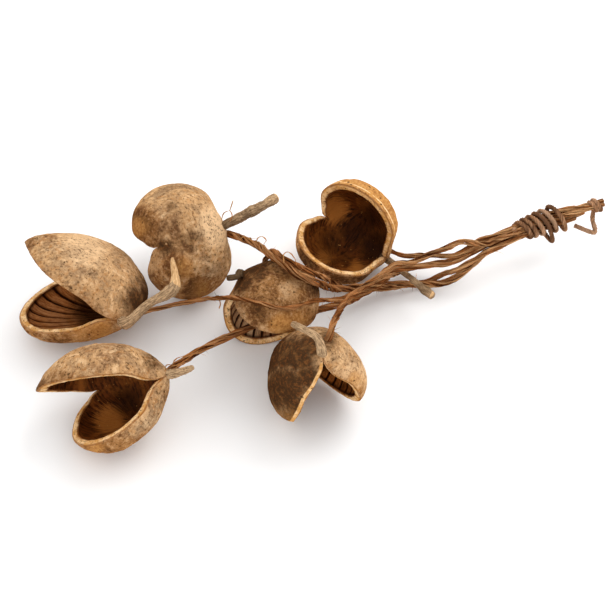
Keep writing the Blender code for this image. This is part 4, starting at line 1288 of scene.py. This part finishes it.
class CLUSTER_OT_pods(bpy.types.Operator):
    """Make the split pods and their stalks"""
    bl_idname = "cluster.pods"
    bl_label = "Pods"

    def execute(self, context):
        for pod in PODS:
            shell = make_pod(pod, LOOKS)
            stalk = make_stalk(pod, LOOKS["stalk"])
            for piece in (shell, stalk):
                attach(piece, "root")
            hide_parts(pod.name)
        return {"FINISHED"}


class CLUSTER_OT_stems(bpy.types.Operator):
    """Lay the twisted bark stems"""
    bl_idname = "cluster.stems"
    bl_label = "Stems"

    def execute(self, context):
        sizes = context.scene.cluster_sizes
        tree = strip_tree()
        for number, name in enumerate(ROUTES):
            strips, spread = ROUTES[name][3:]
            piece = grown_along(name + "_bark", stem_path(name), tree, {
                "Strips": strips, "Spread": spread * MM, "Width": sizes.strip_width, "Flatness": 0.55,
                "Twist Length": sizes.twist_length, "Unevenness": 0.22, "Fibre Density": sizes.fibre_density,
                "Fibre Length": sizes.fibre_length, "Seed": number + 2, "Core": 1.0, "Bark": LOOKS["bark"]})
            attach(piece, "root")
            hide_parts(name)
        return {"FINISHED"}


class CLUSTER_OT_curls(bpy.types.Operator):
    """Add the curls of loose bark"""
    bl_idname = "cluster.curls"
    bl_label = "Loose curls"

    def execute(self, context):
        tree = bpy.data.node_groups["bark_strips"]
        points, edges = [], []
        for curl in CURLS:
            path = smooth_path([placed(*point) for point in curl], FINE_STEP)
            edges += [(len(points) + n, len(points) + n + 1) for n in range(len(path) - 1)]
            points += list(path)
        piece = grown_along("loose_curls", np.array(points), tree, {
            "Strips": 1, "Spread": 0.0, "Width": 0.0009, "Flatness": 0.5, "Twist Length": 0.04,
            "Unevenness": 0.2, "Fibre Density": 3000.0, "Fibre Length": 0.003, "Seed": 5,
            "Bark": LOOKS["curl"]}, edges)
        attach(piece, "root")
        return {"FINISHED"}


class CLUSTER_OT_binding(bpy.types.Operator):
    """Wind the binding and the end tie with its hook"""
    bl_idname = "cluster.binding"
    bl_label = "Binding and hook"

    def execute(self, context):
        sizes = context.scene.cluster_sizes
        tree = bpy.data.node_groups["bark_strips"]
        paths = {"binding": binding_path(), "end_tie": tie_path()}
        for number, (name, path) in enumerate(paths.items()):
            piece = grown_along(name + "_wire", path, tree, {
                "Strips": 1, "Spread": 0.0, "Width": sizes.wire_width, "Flatness": 0.94, "Twist Length": 0.02,
                "Unevenness": 0.05, "Fibre Density": 0.0, "Fibre Length": 0.002, "Seed": number + 11,
                "Bark": LOOKS["wire"]})
            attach(piece, "root")
            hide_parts(name)
        return {"FINISHED"}


class CLUSTER_OT_stage(bpy.types.Operator):
    """Set the pale floor, the soft light and the camera"""
    bl_idname = "cluster.stage"
    bl_label = "Stage"

    def execute(self, context):
        stage = context.scene.cluster_stage
        floor_look = bpy.data.materials.new("pale_floor")
        floor_look.use_nodes = True
        shader = floor_look.node_tree.nodes["Principled BSDF"]
        shader.inputs["Base Color"].default_value = (0.93, 0.93, 0.93, 1.0)
        shader.inputs["Roughness"].default_value = 0.9
        shader.inputs["Specular IOR Level"].default_value = 0.1
        corners = [(x * FLOOR_REACH, y * FLOOR_REACH, 0.0) for x, y in ((-1, -1), (1, -1), (1, 1), (-1, 1))]
        floor = mesh_piece("floor", corners, [(0, 1, 2, 3)], [floor_look])
        self.add_camera(context, stage)
        self.add_lights(context, stage)
        context.scene.view_settings.view_transform = "Standard"
        return {"FINISHED"}

    def add_camera(self, context, stage):
        """Camera that looks down along +Y at the middle of the picture."""
        data = bpy.data.cameras.new("camera")
        data.lens = stage.lens
        camera = bpy.data.objects.new("camera", data)
        middle = -ORIGIN * MM
        camera.location = (middle[0], middle[1] - stage.distance * math.cos(stage.elevation),
                           stage.distance * math.sin(stage.elevation))
        camera.rotation_euler = (math.pi / 2 - stage.elevation, 0.0, 0.0)
        context.scene.collection.objects.link(camera)
        context.scene.camera = camera

    def add_lights(self, context, stage):
        """A large soft key light from the right and behind, and white surroundings."""
        data = bpy.data.lights.new("key", "AREA")
        data.shape = "DISK"
        data.size = KEY_SIZE
        data.energy = stage.key_power
        key = bpy.data.objects.new("key", data)
        key.location = KEY_PLACE
        direction = -key.location
        key.rotation_euler = direction.to_track_quat("-Z", "Y").to_euler()
        context.scene.collection.objects.link(key)
        world = bpy.data.worlds.new("white_surroundings")
        world.use_nodes = True
        background = world.node_tree.nodes["Background"]
        background.inputs["Color"].default_value = (1.0, 1.0, 1.0, 1.0)
        background.inputs["Strength"].default_value = stage.sky
        context.scene.world = world


class CLUSTER_PT_panel(bpy.types.Panel):
    """Lists the pieces of the cluster"""
    bl_idname = "CLUSTER_PT_panel"
    bl_label = "Buddha nut cluster"
    bl_space_type = "VIEW_3D"
    bl_region_type = "UI"
    bl_category = "Cluster"

    def draw(self, context):
        for operator in OPERATORS:
            self.layout.operator(operator.bl_idname)


GROUPS = {"cluster_colours": ClusterColours, "cluster_sizes": ClusterSizes, "cluster_stage": ClusterStage}
OPERATORS = (CLUSTER_OT_looks, CLUSTER_OT_pods, CLUSTER_OT_stems, CLUSTER_OT_curls, CLUSTER_OT_binding,
             CLUSTER_OT_stage)


def register():
    for name, group in GROUPS.items():
        bpy.utils.register_class(group)
        setattr(bpy.types.Scene, name, bpy.props.PointerProperty(type=group))
    for made in (*OPERATORS, CLUSTER_PT_panel):
        bpy.utils.register_class(made)


def unregister():
    for made in reversed((*OPERATORS, CLUSTER_PT_panel)):
        bpy.utils.unregister_class(made)
    for name, group in GROUPS.items():
        delattr(bpy.types.Scene, name)
        bpy.utils.unregister_class(group)


def main():
    register()
    bpy.ops.cluster.looks()
    bpy.ops.cluster.pods()
    bpy.ops.cluster.stems()
    bpy.ops.cluster.curls()
    bpy.ops.cluster.binding()
    bpy.ops.cluster.stage()


if __name__ == "__main__":
    main()
